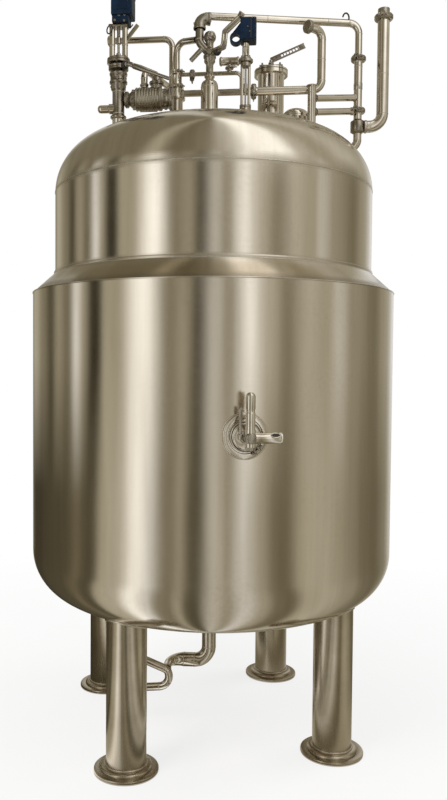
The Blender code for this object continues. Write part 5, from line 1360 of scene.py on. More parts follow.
def make_centre():
    low = roof_height(*CENTRE_AXIS) - 0.030
    top = CENTRE_NOZZLE_TOP_Z
    radius = CENTRE_NOZZLE_RADIUS
    bottle = Shape()
    shoulder = arc((radius * 0.55, top - 0.045), (radius * 0.45, 0.026), 82, 0, 12)
    bottle.turn([(0.0, top), (0.021, top), (0.021, top - 0.005), (0.018, top - 0.009), (0.016, top - 0.012)]
        + shoulder + [(radius, low), (0.0, low)], TUBE, at(CENTRE_AXIS, 0), sides=56, soft=0.0)
    bottle.seam(at(CENTRE_AXIS, top - 0.046), UP, radius)
    bottle.foot_ring(CENTRE_AXIS, radius + 0.001)
    bottle.finish("centre_bottle_neck", "centre_nozzle")

    foot = top + GAP
    height = CENTRE_VALVE_TOP_Z - foot
    slim = CENTRE_NECK_RADIUS
    body = CENTRE_BODY_RADIUS
    ball = arc((0.0, CENTRE_BALL_RISE), (CENTRE_BALL_RADIUS, CENTRE_BALL_RADIUS), 58, -50, 14)
    valve = Shape()
    valve.turn([(0.0, ball[0][1])] + ball + [(slim, 0.126), (slim, 0.112), (body, 0.104),
        *groove(body, 0.0952, 0.0012, 0.0008), (body, 0.084), (body * 1.15, 0.080),
        *groove(body * 1.15, 0.0765, body * 0.06, 0.0007), (body * 1.15, 0.073), (body, 0.070),
        (body, 0.056), (slim, 0.046), (slim, 0.012), (0.021, 0.008), *groove(0.021, 0.004, 0.0012, 0.0005),
        (0.021, 0.0), (0.0, 0.0)], CAST, at(CENTRE_AXIS, foot), sides=52, soft=0.0006)
    axis = at(CENTRE_AXIS, foot)
    for way in spokes(6, 0.25):
        for rise, up in ((0.073, -UP), (0.080, UP)):
            valve.nut(axis + way * (body * 0.98) + UP * rise, up, 0.0036, 0.0034)
    front = Vector((0.35, -0.94, 0.0)).normalized()
    cap = axis + UP * CENTRE_BALL_RISE + front * (CENTRE_BALL_RADIUS - 0.006)
    valve.turn([(0.0, 0.010), (0.0085, 0.010), (0.0095, 0.008), (0.0165, 0.007), (0.0165, 0.0), (0.0, 0.0)],
        CAST, cap, front, sides=36, soft=0.0006)
    for way in spokes(5, 0.0, front.cross(UP).normalized(), UP):
        valve.screw(cap + front * 0.007 + way * 0.0128, front, 0.0021, 0.0022)
    route, joints = rounded_route([at(CENTRE_AXIS, foot + 0.088), at(HEADER_AXIS, foot + 0.136),
        at(HEADER_AXIS, foot + height)], 0.030)
    valve.tube(route, MIDDLE_TUBE, CAST, sides=36)
    valve.seam(joints[1][0], UP, MIDDLE_TUBE)
    hub = Vector((CENTRE_X, CENTRE_Y - body / 2, foot + CENTRE_LEVER_LOW))
    reach = CENTRE_LEVER_REACH
    rise = CENTRE_LEVER_HEIGHT
    side = -CENTRE_LEVER_SIDE
    bend = CENTRE_LEVER_BEND
    thick = CENTRE_LEVER_RADIUS
    corners = [hub] + [hub + Vector((x, side, z)) for x, z in ((bend, 0.0), (bend * 1.08, rise * 0.44),
        (reach * 0.94, rise * 0.87), (reach, rise))]
    route = rounded_route(corners, thick * 1.2)[0]
    lean = Vector((0.80, 0.0, -0.60)).normalized() * thick * 0.64
    for sign in (-1, 1):
        valve.tube([spot + lean * sign for spot in route], thick * 0.54, TUBE, sides=20)
    valve.block((0.0022, 0.008, 0.050), (corners[1] + corners[2]) / 2, BOLT, bevel=0.0006)
    bar = corners[3] - corners[2]
    valve.block((bar.length, 0.0060, 0.0035), (corners[3] + corners[2]) / 2, BOLT, edgewise(bar),
        bevel=0.0008)
    valve.turn([(0.0, 0.0), (thick * 0.7, -0.001), (thick, -0.006), (thick, -0.016), (thick * 0.8, -0.020)],
        CAST, corners[-1], corners[-1] - corners[-2], sides=32)
    for spot in (corners[1], corners[2]):
        valve.turn(disc(thick * 0.9, 0.007, -0.007), CAST, spot, TO_FRONT, sides=28)
        valve.screw(spot + TO_FRONT * 0.007, TO_FRONT, 0.0038, 0.0024)
    valve.turn([(0.0, 0.018), (0.013, 0.018), (0.016, 0.014), (0.016, 0.0), (0.0, 0.0)], RUBBER,
        hub + Vector((0.030, -0.014, -0.002)), (0.35, -0.94, 0.0), sides=32)
    valve.nut(hub + TO_FRONT * body * 0.45, TO_FRONT, 0.0135, 0.010)
    reach = CENTRE_HANDLE_REACH
    drop = CENTRE_HANDLE_DROP
    near = hub + Vector((-reach * 0.40, -reach * 0.40, 0.006))
    far = hub + Vector((-reach, -reach * 0.40, -drop))
    valve.pipe([hub + UP * 0.006, near, far], CENTRE_HANDLE_RADIUS * 0.5, CENTRE_HANDLE_RADIUS * 1.2, BOLT,
        welds=False)
    bar = far - near
    flat = CENTRE_HANDLE_RADIUS * 2
    valve.block((bar.length * 1.10, 0.0060, flat), near + bar * 0.45, CAST, edgewise(bar), bevel=0.0022,
        segments=4)
    for i in range(6):
        valve.block((0.0020, 0.0080, flat * 0.82), near + bar * (0.05 + 0.15 * i), BOLT, edgewise(bar),
            bevel=0.0006)
    valve.finish("centre_ball_valve", "centre_valve")


def make_header():
    wide, axis = MIDDLE_TUBE, DOWN_AXIS
    joint_z = DOWN_UPPER_JOINT_Z
    start = at(HEADER_AXIS, CENTRE_VALVE_TOP_Z + GAP)
    corner = at(HEADER_AXIS, HEADER_Z)
    far = at(axis, HEADER_Z)
    across = (far - corner).normalized()
    header = Shape()
    header.pipe([corner + across * (HEADER_ELBOW_REACH / 2), far, at(axis, joint_z + GAP / 2)], HEADER_TUBE,
        0.042, sides=36)
    for share in (0.42, 0.80):
        header.seam(corner + (far - corner) * share, far - corner, HEADER_TUBE, 0.0018, 0.0004)
    front = far + TO_FRONT * (HEADER_TUBE + 0.0030)
    steps = ((-68, 22), (-65, 31), (-59, 37), (-52, 37), (-46, 31), (-43, 22), (-43, 12), (-47, 3),
        (-54, -3))
    header.tube([front + Vector((x / 1000, 0.0, z / 1000)) for x, z in steps], 0.0034, RUBBER, sides=12)
    sunk = corner - UP * (HEADER_ELBOW_RADIUS - HEADER_TUBE)
    elbow = HEADER_ELBOW_RADIUS
    route = rounded_route([start + UP * 0.012, sunk, sunk + across * HEADER_ELBOW_REACH], 0.030, 12)[0]
    header.tube(route, elbow * 0.93, CAST, sides=44)
    header.tube([start, start + UP * 0.024], wide, CAST, sides=36)
    for spot, way, back in ((route[-1], across, 0.010), (route[0], -UP, 0.009)):
        header.turn([(0.0, 0.0), (elbow - 0.0012, 0.0), (elbow, -0.0012), (elbow, -back),
            (elbow - 0.0014, -back - 0.001)], CAST, spot, way, sides=44, soft=0.0004)
    for way in spokes(4, 0.5, across.cross(UP).normalized(), UP):
        header.nut(route[-1] + way * (elbow - 0.0058) - across * 0.001, across, 0.0040, 0.0032)
    pin = sunk - across * (elbow * 0.86) - UP * 0.020
    header.rod(pin + across * 0.010, pin - across * 0.0032, 0.0045, BOLT, sides=16)
    header.finish("header_line", "header_pipe")
    drop = Shape()
    drop.pipe([at(axis, joint_z), at(axis, DOWN_LOWER_JOINT_Z)], wide, 0.04, sides=36)
    drop.seam(at(axis, joint_z - 0.030), UP, wide)
    drop.turn([(wide - 0.0004, 0.030), (wide + 0.0014, 0.027), (wide + 0.0014, 0.003),
        (wide - 0.0004, 0.0)], BOLT, at(axis, DOWN_LOWER_JOINT_Z + 0.085), sides=16, soft=0.0)
    drop.finish("down_line", "down_pipe")
    for name, z in (("upper", joint_z), ("lower", DOWN_LOWER_JOINT_Z)):
        ring = Shape()
        ring.clamp(at(axis, z), UP, wide, (-0.35, -1.0, 0.0))
        ring.finish("down_joint_clamp_" + name, "down_clamp_" + name)
    tilt = SHOULDER_NOZZLE_TILT
    inner = VESSEL_RADIUS - ROOF_KNUCKLE_RADIUS
    foot = ROOF_KNUCKLE_RADIUS - 0.020
    corner_z = ROOF_WELD_Z + (DOWN_X - inner) / math.tan(tilt)
    landing = Shape()
    start = Vector((inner + foot * math.sin(tilt), DOWN_Y, ROOF_WELD_Z + foot * math.cos(tilt)))
    knee = at(axis, corner_z)
    landing.pipe([start, knee, at(axis, DOWN_LOWER_JOINT_Z - GAP / 2)], wide, 0.030, sides=36)
    landing.turn([(wide - 0.0004, 0.060), (wide + 0.004, 0.056), (TEE_RADIUS, 0.051), (TEE_RADIUS, 0.009),
        (wide + 0.004, 0.004), (wide - 0.0004, 0.0)], CAST, at(axis, TEE_Z - 0.030), sides=48)
    way = (knee - start).normalized()
    ring = []
    side = way.orthogonal().normalized()
    for out in spokes(40, 0.0, side, way.cross(side)):
        spot = start + way * 0.022 + out * (wide + 0.001)
        if math.hypot(spot.x, spot.y) < VESSEL_RADIUS:
            spot.z = roof_height(spot.x, spot.y) + 0.0005
        ring.append(spot)
    landing.bead(ring, 0.0030)
    landing.finish("shoulder_landing", "shoulder_nozzle")


def make_riser():
    wide = LARGE_TUBE
    riser = Shape()
    riser.pipe([at(TEE_AXIS, TEE_Z), at(RISER_AXIS, TEE_Z), at(RISER_AXIS, RISER_JOINT_Z)], wide, 0.050,
        sides=44)
    riser.seam(at(RISER_AXIS, TEE_Z + 0.210), UP, wide, 0.0020, 0.0005)
    riser.turn([(wide - 0.0005, 0.012), (wide + 0.0022, 0.009), (wide + 0.0022, 0.001),
        (wide - 0.0005, 0.0)], WELD, at(TEE_AXIS, TEE_Z), TO_RIGHT, sides=44, soft=0.0)
    riser.finish("riser_line", "riser_pipe")
    union = Shape()
    bore = wide - TUBE_WALL
    rim = wide + FERRULE_RIM + CLAMP_WALL
    half = CLAMP_HEIGHT / 2
    top = RISER_TOP_Z - RISER_JOINT_Z
    union.turn([(bore, top), (wide, top), (wide, half * 1.5), (wide + 0.004, half), (rim - 0.004, half),
        (rim, half * 0.5), *groove(rim, 0.0, 0.002, half * 0.12), (rim, -half * 0.5), (rim - 0.004, -half),
        (wide + 0.0005, -half), (wide + 0.0005, 0.0), (bore, 0.0)], CAST, at(RISER_AXIS, RISER_JOINT_Z),
        sides=56, closed=True, soft=0.0008)
    side = Vector((-0.25, -0.97, 0.0)).normalized()
    spot = at(RISER_AXIS, RISER_JOINT_Z) + side * (rim + 0.003)
    across = union.lugs(spot, side, UP, (0.017, 0.0065, 0.019), 0.007)
    union.bolt(spot, across, (0.019, 0.027), 0.0032, 0.0105, 0.0068, (0.007, 0.005))
    union.finish("riser_pipe_union", "riser_union")


def make_right_column():
    base = Shape()
    neck(base, RIGHT_AXIS, 0.014, RIGHT_BASE_TOP_Z, 0.008)
    base.finish("right_roof_neck", "right_base")
    yoke = Shape()
    low = RIGHT_BASE_TOP_Z + GAP
    yoke.turn(disc(0.022, 0.009), CAST, at(RIGHT_AXIS, low), sides=44)
    round_flange(yoke, RIGHT_AXIS, RIGHT_PLATE_Z, RIGHT_PLATE_Z + 0.012, RIGHT_PLATE_RADIUS, 4)
    yoke.turn(disc(0.019, 0.0, -0.016), CAST, at(RIGHT_AXIS, RIGHT_PLATE_Z), sides=40)
    for sign in (-1, 1):
        x = RIGHT_X + sign * RIGHT_POST_SPREAD
        yoke.rod((x, RIGHT_Y, low + 0.004), (x, RIGHT_Y, RIGHT_PLATE_Z + 0.004), RIGHT_POST_RADIUS, TUBE,
            sides=24)
        yoke.nut((x, RIGHT_Y, low + 0.009), UP, RIGHT_POST_RADIUS * 1.4, 0.006)
    middle = (RIGHT_PLATE_Z - low) * 0.45
    yoke.turn([(0.0, RIGHT_PLATE_Z - low), (0.0045, RIGHT_PLATE_Z - low), (0.0045, middle + 0.018),
        (0.0065, middle + 0.015), (0.0065, middle - 0.015), (0.0038, middle - 0.018), (0.0038, 0.006),
        (0.0, 0.006)], BOLT, at(RIGHT_AXIS, low), sides=24)
    high = RIGHT_YOKE_TOP_Z - RIGHT_PLATE_Z
    yoke.turn([(0.0, high), (0.013, high), (0.013, high - 0.018), (0.0100, high - 0.020), (0.0072, 0.034),
        (0.0072, 0.026), (0.013, 0.020), (0.013, 0.006), (0.0, 0.006)], TUBE, at(RIGHT_AXIS, RIGHT_PLATE_Z),
        sides=36)
    for sign in (-1, 1):
        x = RIGHT_X + sign * 0.0105
        yoke.rod((x, RIGHT_Y - 0.004, RIGHT_PLATE_Z + 0.010), (x, RIGHT_Y - 0.004,
            RIGHT_YOKE_TOP_Z - 0.001), 0.0030, BOLT, sides=16)
        yoke.nut((x, RIGHT_Y - 0.004, RIGHT_PLATE_Z + 0.012), UP, 0.0052, 0.0050)
    yoke.finish("right_valve_yoke", "right_yoke")

    foot = RIGHT_YOKE_TOP_Z + GAP
    x = RIGHT_X + RIGHT_ACTUATOR_SHIFT
    wide, deep, high = RIGHT_ACTUATOR_WIDTH, RIGHT_ACTUATOR_DEPTH, RIGHT_ACTUATOR_HEIGHT
    motor = Shape()
    centre = Vector((x, RIGHT_Y, foot + high / 2))
    motor.block((wide - 0.001, deep - 0.002, high * 0.998), centre, BLUE, bevel=0.006, segments=5)
    motor.block((0.004, deep, high * 0.86), centre + TO_RIGHT * wide * 0.17, RUBBER, bevel=0.001)
    motor.block((wide * 0.26, deep, high * 0.94), centre + TO_RIGHT * wide * 0.34, BLUE, bevel=0.005,
        segments=4)
    for sy in (-1, 1):
        for dx, dz in ((0.014, 0.0375), (0.024, 0.0375), (-0.002, 0.004), (0.006, -0.014)):
            motor.screw(centre + Vector((dx, sy * (deep / 2 - 0.0006), dz)), (0, sy, 0), 0.0027, 0.0022)
    lobe_x = x - wide / 2 - RIGHT_LOBE_RADIUS * 0.72
    lobe_z = foot + RIGHT_LOBE_RADIUS * 0.60
    thick = RIGHT_LOBE_THICKNESS / 2
    motor.turn(hoop(RIGHT_LOBE_RADIUS, RIGHT_LOBE_BORE, thick, -thick), BLUE, (lobe_x, RIGHT_Y, lobe_z),
        TO_FRONT, sides=52, closed=True)
    shoulder = foot + high - 0.008
    edge = RIGHT_LOBE_RADIUS
    web = [(x - wide / 4, foot + 0.008), (x - wide / 4, shoulder), (x - wide / 2 + 0.004, shoulder),
        (lobe_x - edge * 0.70, lobe_z + edge * 0.70), (lobe_x - edge * 0.30, lobe_z + edge * 0.74),
        (lobe_x + edge * 0.30, lobe_z + edge * 0.74), (lobe_x + edge * 0.72, lobe_z + edge * 0.34),
        (lobe_x + edge * 0.80, lobe_z - edge * 0.10), (lobe_x + edge * 0.66, lobe_z - edge * 0.50),
        (lobe_x + edge * 0.30, lobe_z - edge * 0.86)]
    motor.plate(web, thick * 1.8, RIGHT_Y, BLUE)
    motor.finish("right_blue_actuator", "right_actuator", "blue_coating")


def make_cross_pipe():
    cross = Shape()
    start = Vector((RETURN_X + 0.0205, CROSS_Y, CROSS_Z))
    joint = Vector((CROSS_JOINT_X, CROSS_Y, CROSS_Z))
    cross.pipe([start, joint - TO_RIGHT * 0.0085], SMALL_TUBE, 0.04, sides=32)
    cross.turn([(SMALL_TUBE, 0.0), (SMALL_TUBE + 0.0030, 0.001), (SMALL_TUBE + 0.0030, 0.006),
        (SMALL_TUBE, 0.010)], WELD, (RETURN_X + 0.0235, CROSS_Y, CROSS_Z), TO_RIGHT, sides=32, soft=0.0)
    cross.turn([(SMALL_TUBE - 0.0005, 0.022), (SMALL_TUBE + 0.0005, 0.020), (MIDDLE_TUBE - 0.0004, 0.004),
        (MIDDLE_TUBE - 0.0004, 0.0)], TUBE, joint - TO_RIGHT * 0.011, TO_LEFT, sides=32, soft=0.0)
    cross.pipe([Vector((RETURN_X + 0.020, CROSS_Y, SLIM_Z)), at(SLIM_AXIS, SLIM_Z),
        at(SLIM_AXIS, CROSS_Z + SMALL_TUBE - 0.002)], SLIM_TUBE, 0.024, sides=24)
    cross.clamp(Vector((SLIM_CLAMP_X, CROSS_Y, SLIM_Z)), TO_RIGHT, SLIM_TUBE, (0.0, -0.6, -0.8), 0.020,
        0.006, 0.005, False)
    foot = Vector((FILTER_X, CROSS_Y, SLIM_Z))
    cross.clamp(foot + UP * 0.020, UP, SLIM_TUBE, (0.3, -0.9, 0.0), 0.012, 0.005, 0.004, False)
    cross.rod(foot, foot + UP * FILTER_RISE, SLIM_TUBE, TUBE)
    ends = [(0.0, 0.001), (0.013, 0.001), (0.0185, 0.005), (0.0185, 0.011), (0.0160, 0.014)]
    body = [(radius, FILTER_LENGTH - place) for radius, place in ends] + ends[::-1]
    cross.turn(body, TUBE, foot + UP * FILTER_RISE - TO_RIGHT * (FILTER_LENGTH / 2), TO_RIGHT, sides=40)
    cross.finish("cross_line", "cross_pipe")
    ring = Shape()
    ring.clamp(joint, TO_RIGHT, MIDDLE_TUBE, (0.0, -0.8, -0.6))
    ring.finish("cross_joint_clamp", "cross_clamp")
    end = Vector((LOOP_X - LOOP_BACK, CROSS_Y - LOOP_SIDE, LOOP_TOP_Z))
    loop = Shape()
    loop.pipe([joint, at(LOOP_AXIS, CROSS_Z), at(LOOP_AXIS, LOOP_TOP_Z), end], MIDDLE_TUBE, 0.034, sides=36)
    loop.seam(at(LOOP_AXIS, CROSS_Z + 0.120), UP, MIDDLE_TUBE)
    loop.turn([(0.0, 0.014), (0.016, 0.014), (0.022, 0.0132), (0.026, 0.009), *groove(0.026, 0.003, 0.0015,
        0.001), (0.026, -0.004), (MIDDLE_TUBE, -0.010)], CAST, end, (-LOOP_BACK, -LOOP_SIDE, 0.0), sides=44,
        soft=0.0006)
    loop.finish("loop_line", "loop_pipe")


def make_hand_hole():
    axis = HAND_AXIS
    low = roof_height(*axis) - 0.050
    outer = HAND_NECK_RADIUS
    rim = HAND_RIM_RADIUS
    rim_low = HAND_RIM_Z - HAND_RIM_THICKNESS
    wall = Shape()
    wall.turn([(outer - HAND_NECK_WALL, HAND_RIM_Z), (rim, HAND_RIM_Z), (rim, rim_low),
        (outer + 0.002, rim_low - 0.001), (outer, rim_low - 0.004), (outer, low),
        (outer - HAND_NECK_WALL, low)], TUBE, at(axis, 0), sides=96, closed=True)
    wall.foot_ring(axis, outer + 0.001, 0.0036)
    for z in (rim_low - 0.060, rim_low - 0.130):
        wall.seam(at(axis, z), UP, outer)
    wall.finish("hand_hole_wall", "hand_hole_neck")
    lid = Shape()
    floor = HAND_RIM_Z + GAP
    thick = HAND_LID_THICKNESS
    lid.turn(hoop(rim - 0.003, rim - 0.02, 0.0012, -0.0006), RUBBER, at(axis, floor), sides=96, closed=True,
        soft=0.0)
    lid.turn([(0.0, thick), (rim * 0.34, thick), (rim * 0.60, thick - 0.0012), (rim * 0.74, thick - 0.0034),
        (rim * 0.84, 0.0128), (rim - 0.010, 0.0100), (rim - 0.003, 0.0092), (rim, 0.0078), (rim, 0.0010),
        (rim - 0.002, 0.0008), (0.0, 0.0008)], TUBE, at(axis, floor), sides=96, soft=0.0006)
    for way in spokes(8, 0.5):
        lid.nut(at(axis, floor + 0.0090) + way * (rim - 0.0075), UP, 0.0046, 0.0034)
    lid.finish("hand_hole_dished_lid", "hand_hole_lid")
    arm = Shape()
    arm_low = floor + thick + GAP
    high = HAND_ARM_Z - arm_low
    radius = HAND_ARM_RADIUS
    arm.turn([(0.0, high), (radius, high), (radius, high - 0.004), (radius * 0.8, high - 0.005),
        (radius * 0.8, 0.005), (radius, 0.004), (radius, 0.0), (0.0, 0.0)], CAST, at(axis, arm_low),
        sides=36)
    size = HAND_BAR_SIZE
    arm.block(size, at(axis, HAND_ARM_Z - 0.011), CAST, bevel=0.0028, segments=4)
    for sign in (-1, 1):
        spot = Vector((HAND_X + sign * (size[0] / 2 - 0.012), HAND_Y, HAND_ARM_Z - 0.007))
        arm.stud(spot, UP, 0.0040, 0.012, head=0.005)
    lever = HAND_LEVER_RADIUS
    knee = at(axis, HAND_ARM_Z + HAND_LEVER_ELBOW)
    end = Vector((HAND_X + HAND_LEVER_REACH, HAND_Y, HAND_ARM_Z + HAND_LEVER_HEIGHT))
    arm.rod(at(axis, HAND_ARM_Z - 0.003), knee, 0.008, BOLT, sides=24)
    bar = end - knee
    long = bar.length
    spin = edgewise(bar)
    over = bar.normalized().cross(TO_BACK)
    for sign in (-1, 1):
        arm.block((long * 0.97, 0.0060, lever * 0.50), knee + bar * 0.49 + over * sign * lever * 0.62, CAST,
            spin, 0.0016, 3)
    for share, place in ((0.30, 0.14), (0.16, 0.89)):
        arm.block((long * share, 0.0070, lever * 1.5), knee + bar * place, CAST, spin, 0.0020, 3)
    for i in range(6):
        arm.block((0.0040, 0.0066, lever * 1.2), knee + bar * (0.36 + 0.085 * i), BOLT, spin, bevel=0.0008)
    arm.screw(knee + bar * 0.10 + TO_FRONT * 0.0034, TO_FRONT, 0.0050, 0.0030)
    arm.nut(at(axis, HAND_ARM_Z), UP, 0.0118, 0.008)
    arm.finish("hand_hole_lever_arm", "hand_hole_arm")


def make_sight_port():
    low = roof_height(*SIGHT_AXIS) - 0.030
    neck_top = ROOF_TOP_Z + SIGHT_RISE
    rim_top = neck_top + SIGHT_RIM_THICKNESS
    rim = SIGHT_RIM_RADIUS
    dome = arc((0.0, rim_top), (rim * 0.90, SIGHT_DOME), 90, 0, 12)
    port = Shape()
    port.turn(dome + [(rim * 0.92, rim_top), (rim, rim_top - 0.001), *groove(rim, rim_top - 0.007, 0.002,
        0.001), (rim, neck_top), (SIGHT_NECK_RADIUS, neck_top), (SIGHT_NECK_RADIUS, low)], TUBE,
        at(SIGHT_AXIS, 0), sides=72, soft=0.0)
    port.foot_ring(SIGHT_AXIS, SIGHT_NECK_RADIUS + 0.001)
    for way in spokes(6, 0.3):
        port.nut(at(SIGHT_AXIS, rim_top - 0.007) + way * (rim - 0.001), way, 0.0054, 0.0040)
    port.finish("domed_sight_port", "sight_port")


def make_vent():
    vent = Shape()
    neck(vent, VENT_AXIS, MIDDLE_TUBE, VENT_TOP_Z, 0.006)
    top = at(VENT_AXIS, VENT_TOP_Z)
    vent.seam(top - UP * 0.030, UP, MIDDLE_TUBE)
    vent.finish("vent_neck", "vent_nozzle")
    clamp_rim = MIDDLE_TUBE + FERRULE_RIM + CLAMP_WALL
    links = ("link_upper", LINK_UPPER_Z, MIDDLE_TUBE), ("link_lower", DOWN_LOWER_JOINT_Z, clamp_rim)
    for name, height, stop in links:
        vent_spot = at(VENT_AXIS, height - LINK_FALL)
        down_spot = at(DOWN_AXIS, height)
        start = short_of(vent_spot, down_spot, MIDDLE_TUBE - 0.002)
        end = short_of(down_spot, vent_spot, stop - 0.002)
        link = Shape()
        link.rod(start, end, LINK_RADIUS, TUBE, sides=28)
        way = end - start
        step = way.normalized() * 0.003
        for spot, sign in ((start + step, 1), (end - step, -1)):
            link.turn([(LINK_RADIUS + 0.0028, 0.0), (LINK_RADIUS + 0.0016, 0.0025),
                (LINK_RADIUS - 0.0002, 0.005)], WELD, spot, way * sign, sides=28, soft=0.0)
        link.finish(name + "_bar", name)


make_camera()
make_shells()
make_legs()
make_port()
make_outlet()
make_left_column()
make_block()
make_return_stack()
make_supply_pipe()
make_centre()
make_header()
make_riser()
make_right_column()
make_cross_pipe()
make_hand_hole()
make_sight_port()
make_vent()


# Studio: a ring of soft panels that the steel mirrors. Each band is a row of marks, as (share of the turn
# round the tank, brightness), from the rear over the left, and bands blend into one another by height.
STUDIO_RADIUS = 3.9
STUDIO_HEIGHT = 5.2
STUDIO_SKIRT = 0.01
STUDIO_TRAY_Z = 0.004
STUDIO_SIDES = 96
STUDIO_MIDDLE_FADE = (0.5, 1.6)
STUDIO_TOP_FADE = (3.0, 4.2)
STUDIO_LOW = ((0.000, 0.24), (0.060, 0.62), (0.105, 0.16), (0.130, 0.05), (0.253, 0.10), (0.286, 0.18),
    (0.309, 0.10), (0.322, 0.10), (0.340, 0.50), (0.371, 0.56), (0.400, 1.42), (0.420, 0.86), (0.438, 0.28),
    (0.455, 0.24), (0.467, 0.46), (0.480, 0.12), (0.492, 0.10), (0.514, 0.66), (0.536, 0.38), (0.558, 0.84),
    (0.585, 0.44), (0.605, 0.22), (0.625, 0.18), (0.652, 0.48), (0.682, 0.54), (0.727, 0.40), (0.783, 0.22),
    (0.820, 0.18), (0.860, 0.28), (0.920, 0.66), (0.960, 0.30), (1.000, 0.24))
STUDIO_MIDDLE = ((0.000, 0.30), (0.060, 0.80), (0.100, 0.28), (0.130, 0.50), (0.185, 0.28), (0.212, 0.08),
    (0.236, 0.42), (0.264, 0.18), (0.286, 1.00), (0.300, 0.44), (0.318, 0.03), (0.330, 0.03), (0.344, 0.52),
    (0.366, 0.46), (0.410, 1.45), (0.446, 0.28), (0.472, 0.44), (0.490, 0.06), (0.516, 0.72), (0.536, 0.34),
    (0.566, 1.20), (0.594, 0.56), (0.626, 0.28), (0.652, 0.58), (0.694, 0.46), (0.715, 0.72), (0.749, 0.38),
    (0.805, 0.22), (0.850, 0.40), (0.920, 0.86), (0.960, 0.30), (1.000, 0.30))
STUDIO_TOP = ((0.000, 0.30), (0.060, 0.70), (0.120, 0.24), (0.360, 0.24), (0.400, 0.48), (0.440, 0.20),
    (0.490, 0.26), (0.540, 0.66), (0.590, 1.50), (0.640, 1.50), (0.680, 0.62), (0.730, 0.46), (0.800, 0.62),
    (0.900, 0.40), (1.000, 0.30))
STUDIO_TONES = ((0.00, (0.008, 0.006, 0.003)), (0.17, (0.171, 0.147, 0.094)), (0.51, (0.514, 0.477, 0.373)),
    (0.86, (0.857, 0.850, 0.840)), (1.60, (1.600, 1.590, 1.570)))
STUDIO_PEAK = 1.6

# Floor: how far it reaches, its share of plain white close to the tank, and where it becomes all white
FLOOR_REACH = 40.0
FLOOR_DARK = (0.82, 0.815, 0.80)
FLOOR_LIGHT = (0.86, 0.855, 0.845)
FLOOR_GLOW = 0.78
FLOOR_FADE = (0.8, 3.2)
WORLD_GLOW = 0.62
WHITE = (1.0, 1.0, 1.0, 1.0)


def studio_tone(value):
    """The colour of a studio panel of a given brightness: warm where dark, white where bright."""
    for (low, first), (high, second) in zip(STUDIO_TONES, STUDIO_TONES[1:]):
        if value <= high:
            share = (value - low) / (high - low)
            return tuple(a + (b - a) * share for a, b in zip(first, second))
    return STUDIO_TONES[-1][1]


def studio_band(nodes, share, marks):
    ramp = nodes.add("ShaderNodeValToRGB")
    nodes.feed(ramp.inputs[0], share)
    band = ramp.color_ramp
    band.interpolation = "EASE"
    for index, (position, value) in enumerate(marks):
        mark = band.elements[index] if index < 2 else band.elements.new(position)
        mark.position = position
        mark.color = (*(part / STUDIO_PEAK for part in studio_tone(value)), 1.0)
    return ramp.outputs["Color"]


def add_stage(name, mesh, material):
    material.cycles.emission_sampling = "NONE"
    mesh.materials.append(material)
    piece = bpy.data.objects.new(name, mesh)
    bpy.context.scene.collection.objects.link(piece)
    return piece


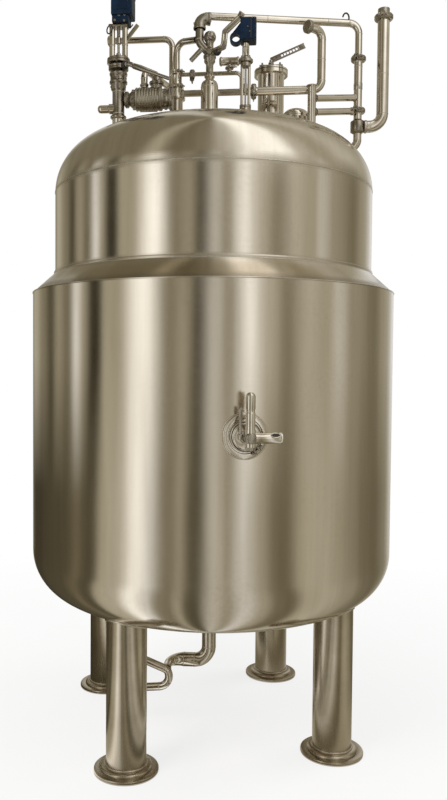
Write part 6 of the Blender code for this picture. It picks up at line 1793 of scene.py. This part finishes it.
def make_studio_ring():
    form = bmesh.new()
    rings = [[form.verts.new(way * STUDIO_RADIUS + UP * z) for way in spokes(STUDIO_SIDES)]
        for z in (-STUDIO_SKIRT, STUDIO_HEIGHT, STUDIO_TRAY_Z)]
    skin(form, rings[0], rings[1])
    form.faces.new(rings[1])
    form.faces.new(rings[2])
    mesh = bpy.data.meshes.new("studio_ring")
    form.to_mesh(mesh)
    form.free()
    material, nodes, place = new_material("studio_ring_light", "ShaderNodeNewGeometry", "Position")
    nodes.tree.nodes.remove(nodes.tree.nodes["Principled BSDF"])
    x, y, z = nodes.split(place)
    around = nodes.math("ARCTAN2", x, nodes.times(y, -1.0))
    share = nodes.plus(nodes.math("DIVIDE", around, 2 * math.pi), 0.5)
    bands = [studio_band(nodes, share, marks) for marks in (STUDIO_LOW, STUDIO_MIDDLE, STUDIO_TOP)]
    colour = nodes.tint(nodes.spread(z, *STUDIO_MIDDLE_FADE, 0.0, 1.0), bands[0], bands[1])
    colour = nodes.tint(nodes.spread(z, *STUDIO_TOP_FADE, 0.0, 1.0), colour, bands[2])
    nodes.show(nodes.glow(colour, STUDIO_PEAK))
    ring = add_stage("studio_ring", mesh, material)
    for kind in ("camera", "diffuse", "shadow", "transmission", "volume_scatter"):
        setattr(ring, "visible_" + kind, False)


def make_floor():
    mesh = bpy.data.meshes.new("floor")
    corners = [(x * FLOOR_REACH, y * FLOOR_REACH, 0) for x, y in ((-1, -1), (1, -1), (1, 1), (-1, 1))]
    mesh.from_pydata(corners, [], [(0, 1, 2, 3)])
    material, nodes, place = new_material("pale_floor", "ShaderNodeNewGeometry", "Position")
    x, y, z = nodes.split(place)
    away = nodes.math("SQRT", nodes.plus(nodes.times(x, x), nodes.times(y, y)))
    cloud = nodes.spread(nodes.noise(place, 1.6, 4.0), 0.3, 0.7, 0.0, 1.0)
    shader = nodes.look(colour=nodes.tint(cloud, FLOOR_DARK, FLOOR_LIGHT), rough=0.6, shine=0.25)
    white = nodes.times(nodes.seen(), nodes.spread(away, *FLOOR_FADE, FLOOR_GLOW, 1.0))
    mix = nodes.add("ShaderNodeMixShader")
    nodes.show(nodes.fill(mix, white, shader.outputs[0], nodes.glow(WHITE, 1.0)))
    add_stage("floor", mesh, material)


def make_world():
    world = bpy.data.worlds.new("studio_world")
    bpy.context.scene.world = world
    world.use_nodes = True
    nodes = Nodes(world.node_tree)
    glow = nodes.spread(nodes.seen(), 0.0, 1.0, WORLD_GLOW, 1.0)
    nodes.fill(world.node_tree.nodes["Background"], WHITE, glow)


def make_light(name, place, target_z, size, power, colour):
    data = bpy.data.lights.new(name, "AREA")
    data.shape = "RECTANGLE"
    data.size = data.size_y = size
    data.energy = power
    data.color = colour
    light = bpy.data.objects.new(name, data)
    bpy.context.scene.collection.objects.link(light)
    light.location = place
    light.rotation_mode = "QUATERNION"
    light.rotation_quaternion = (UP * target_z - Vector(place)).to_track_quat("-Z", "Y")
    light.visible_glossy = False


make_studio_ring()
make_floor()
make_world()
make_light("key_light", (-3.2, -3.6, 4.6), 1.4, 2.6, 210.0, (1.0, 0.985, 0.96))
make_light("rim_light", (3.6, 1.8, 4.2), 1.8, 2.0, 90.0, (1.0, 0.99, 0.97))
bpy.context.scene.view_settings.view_transform = "Standard"
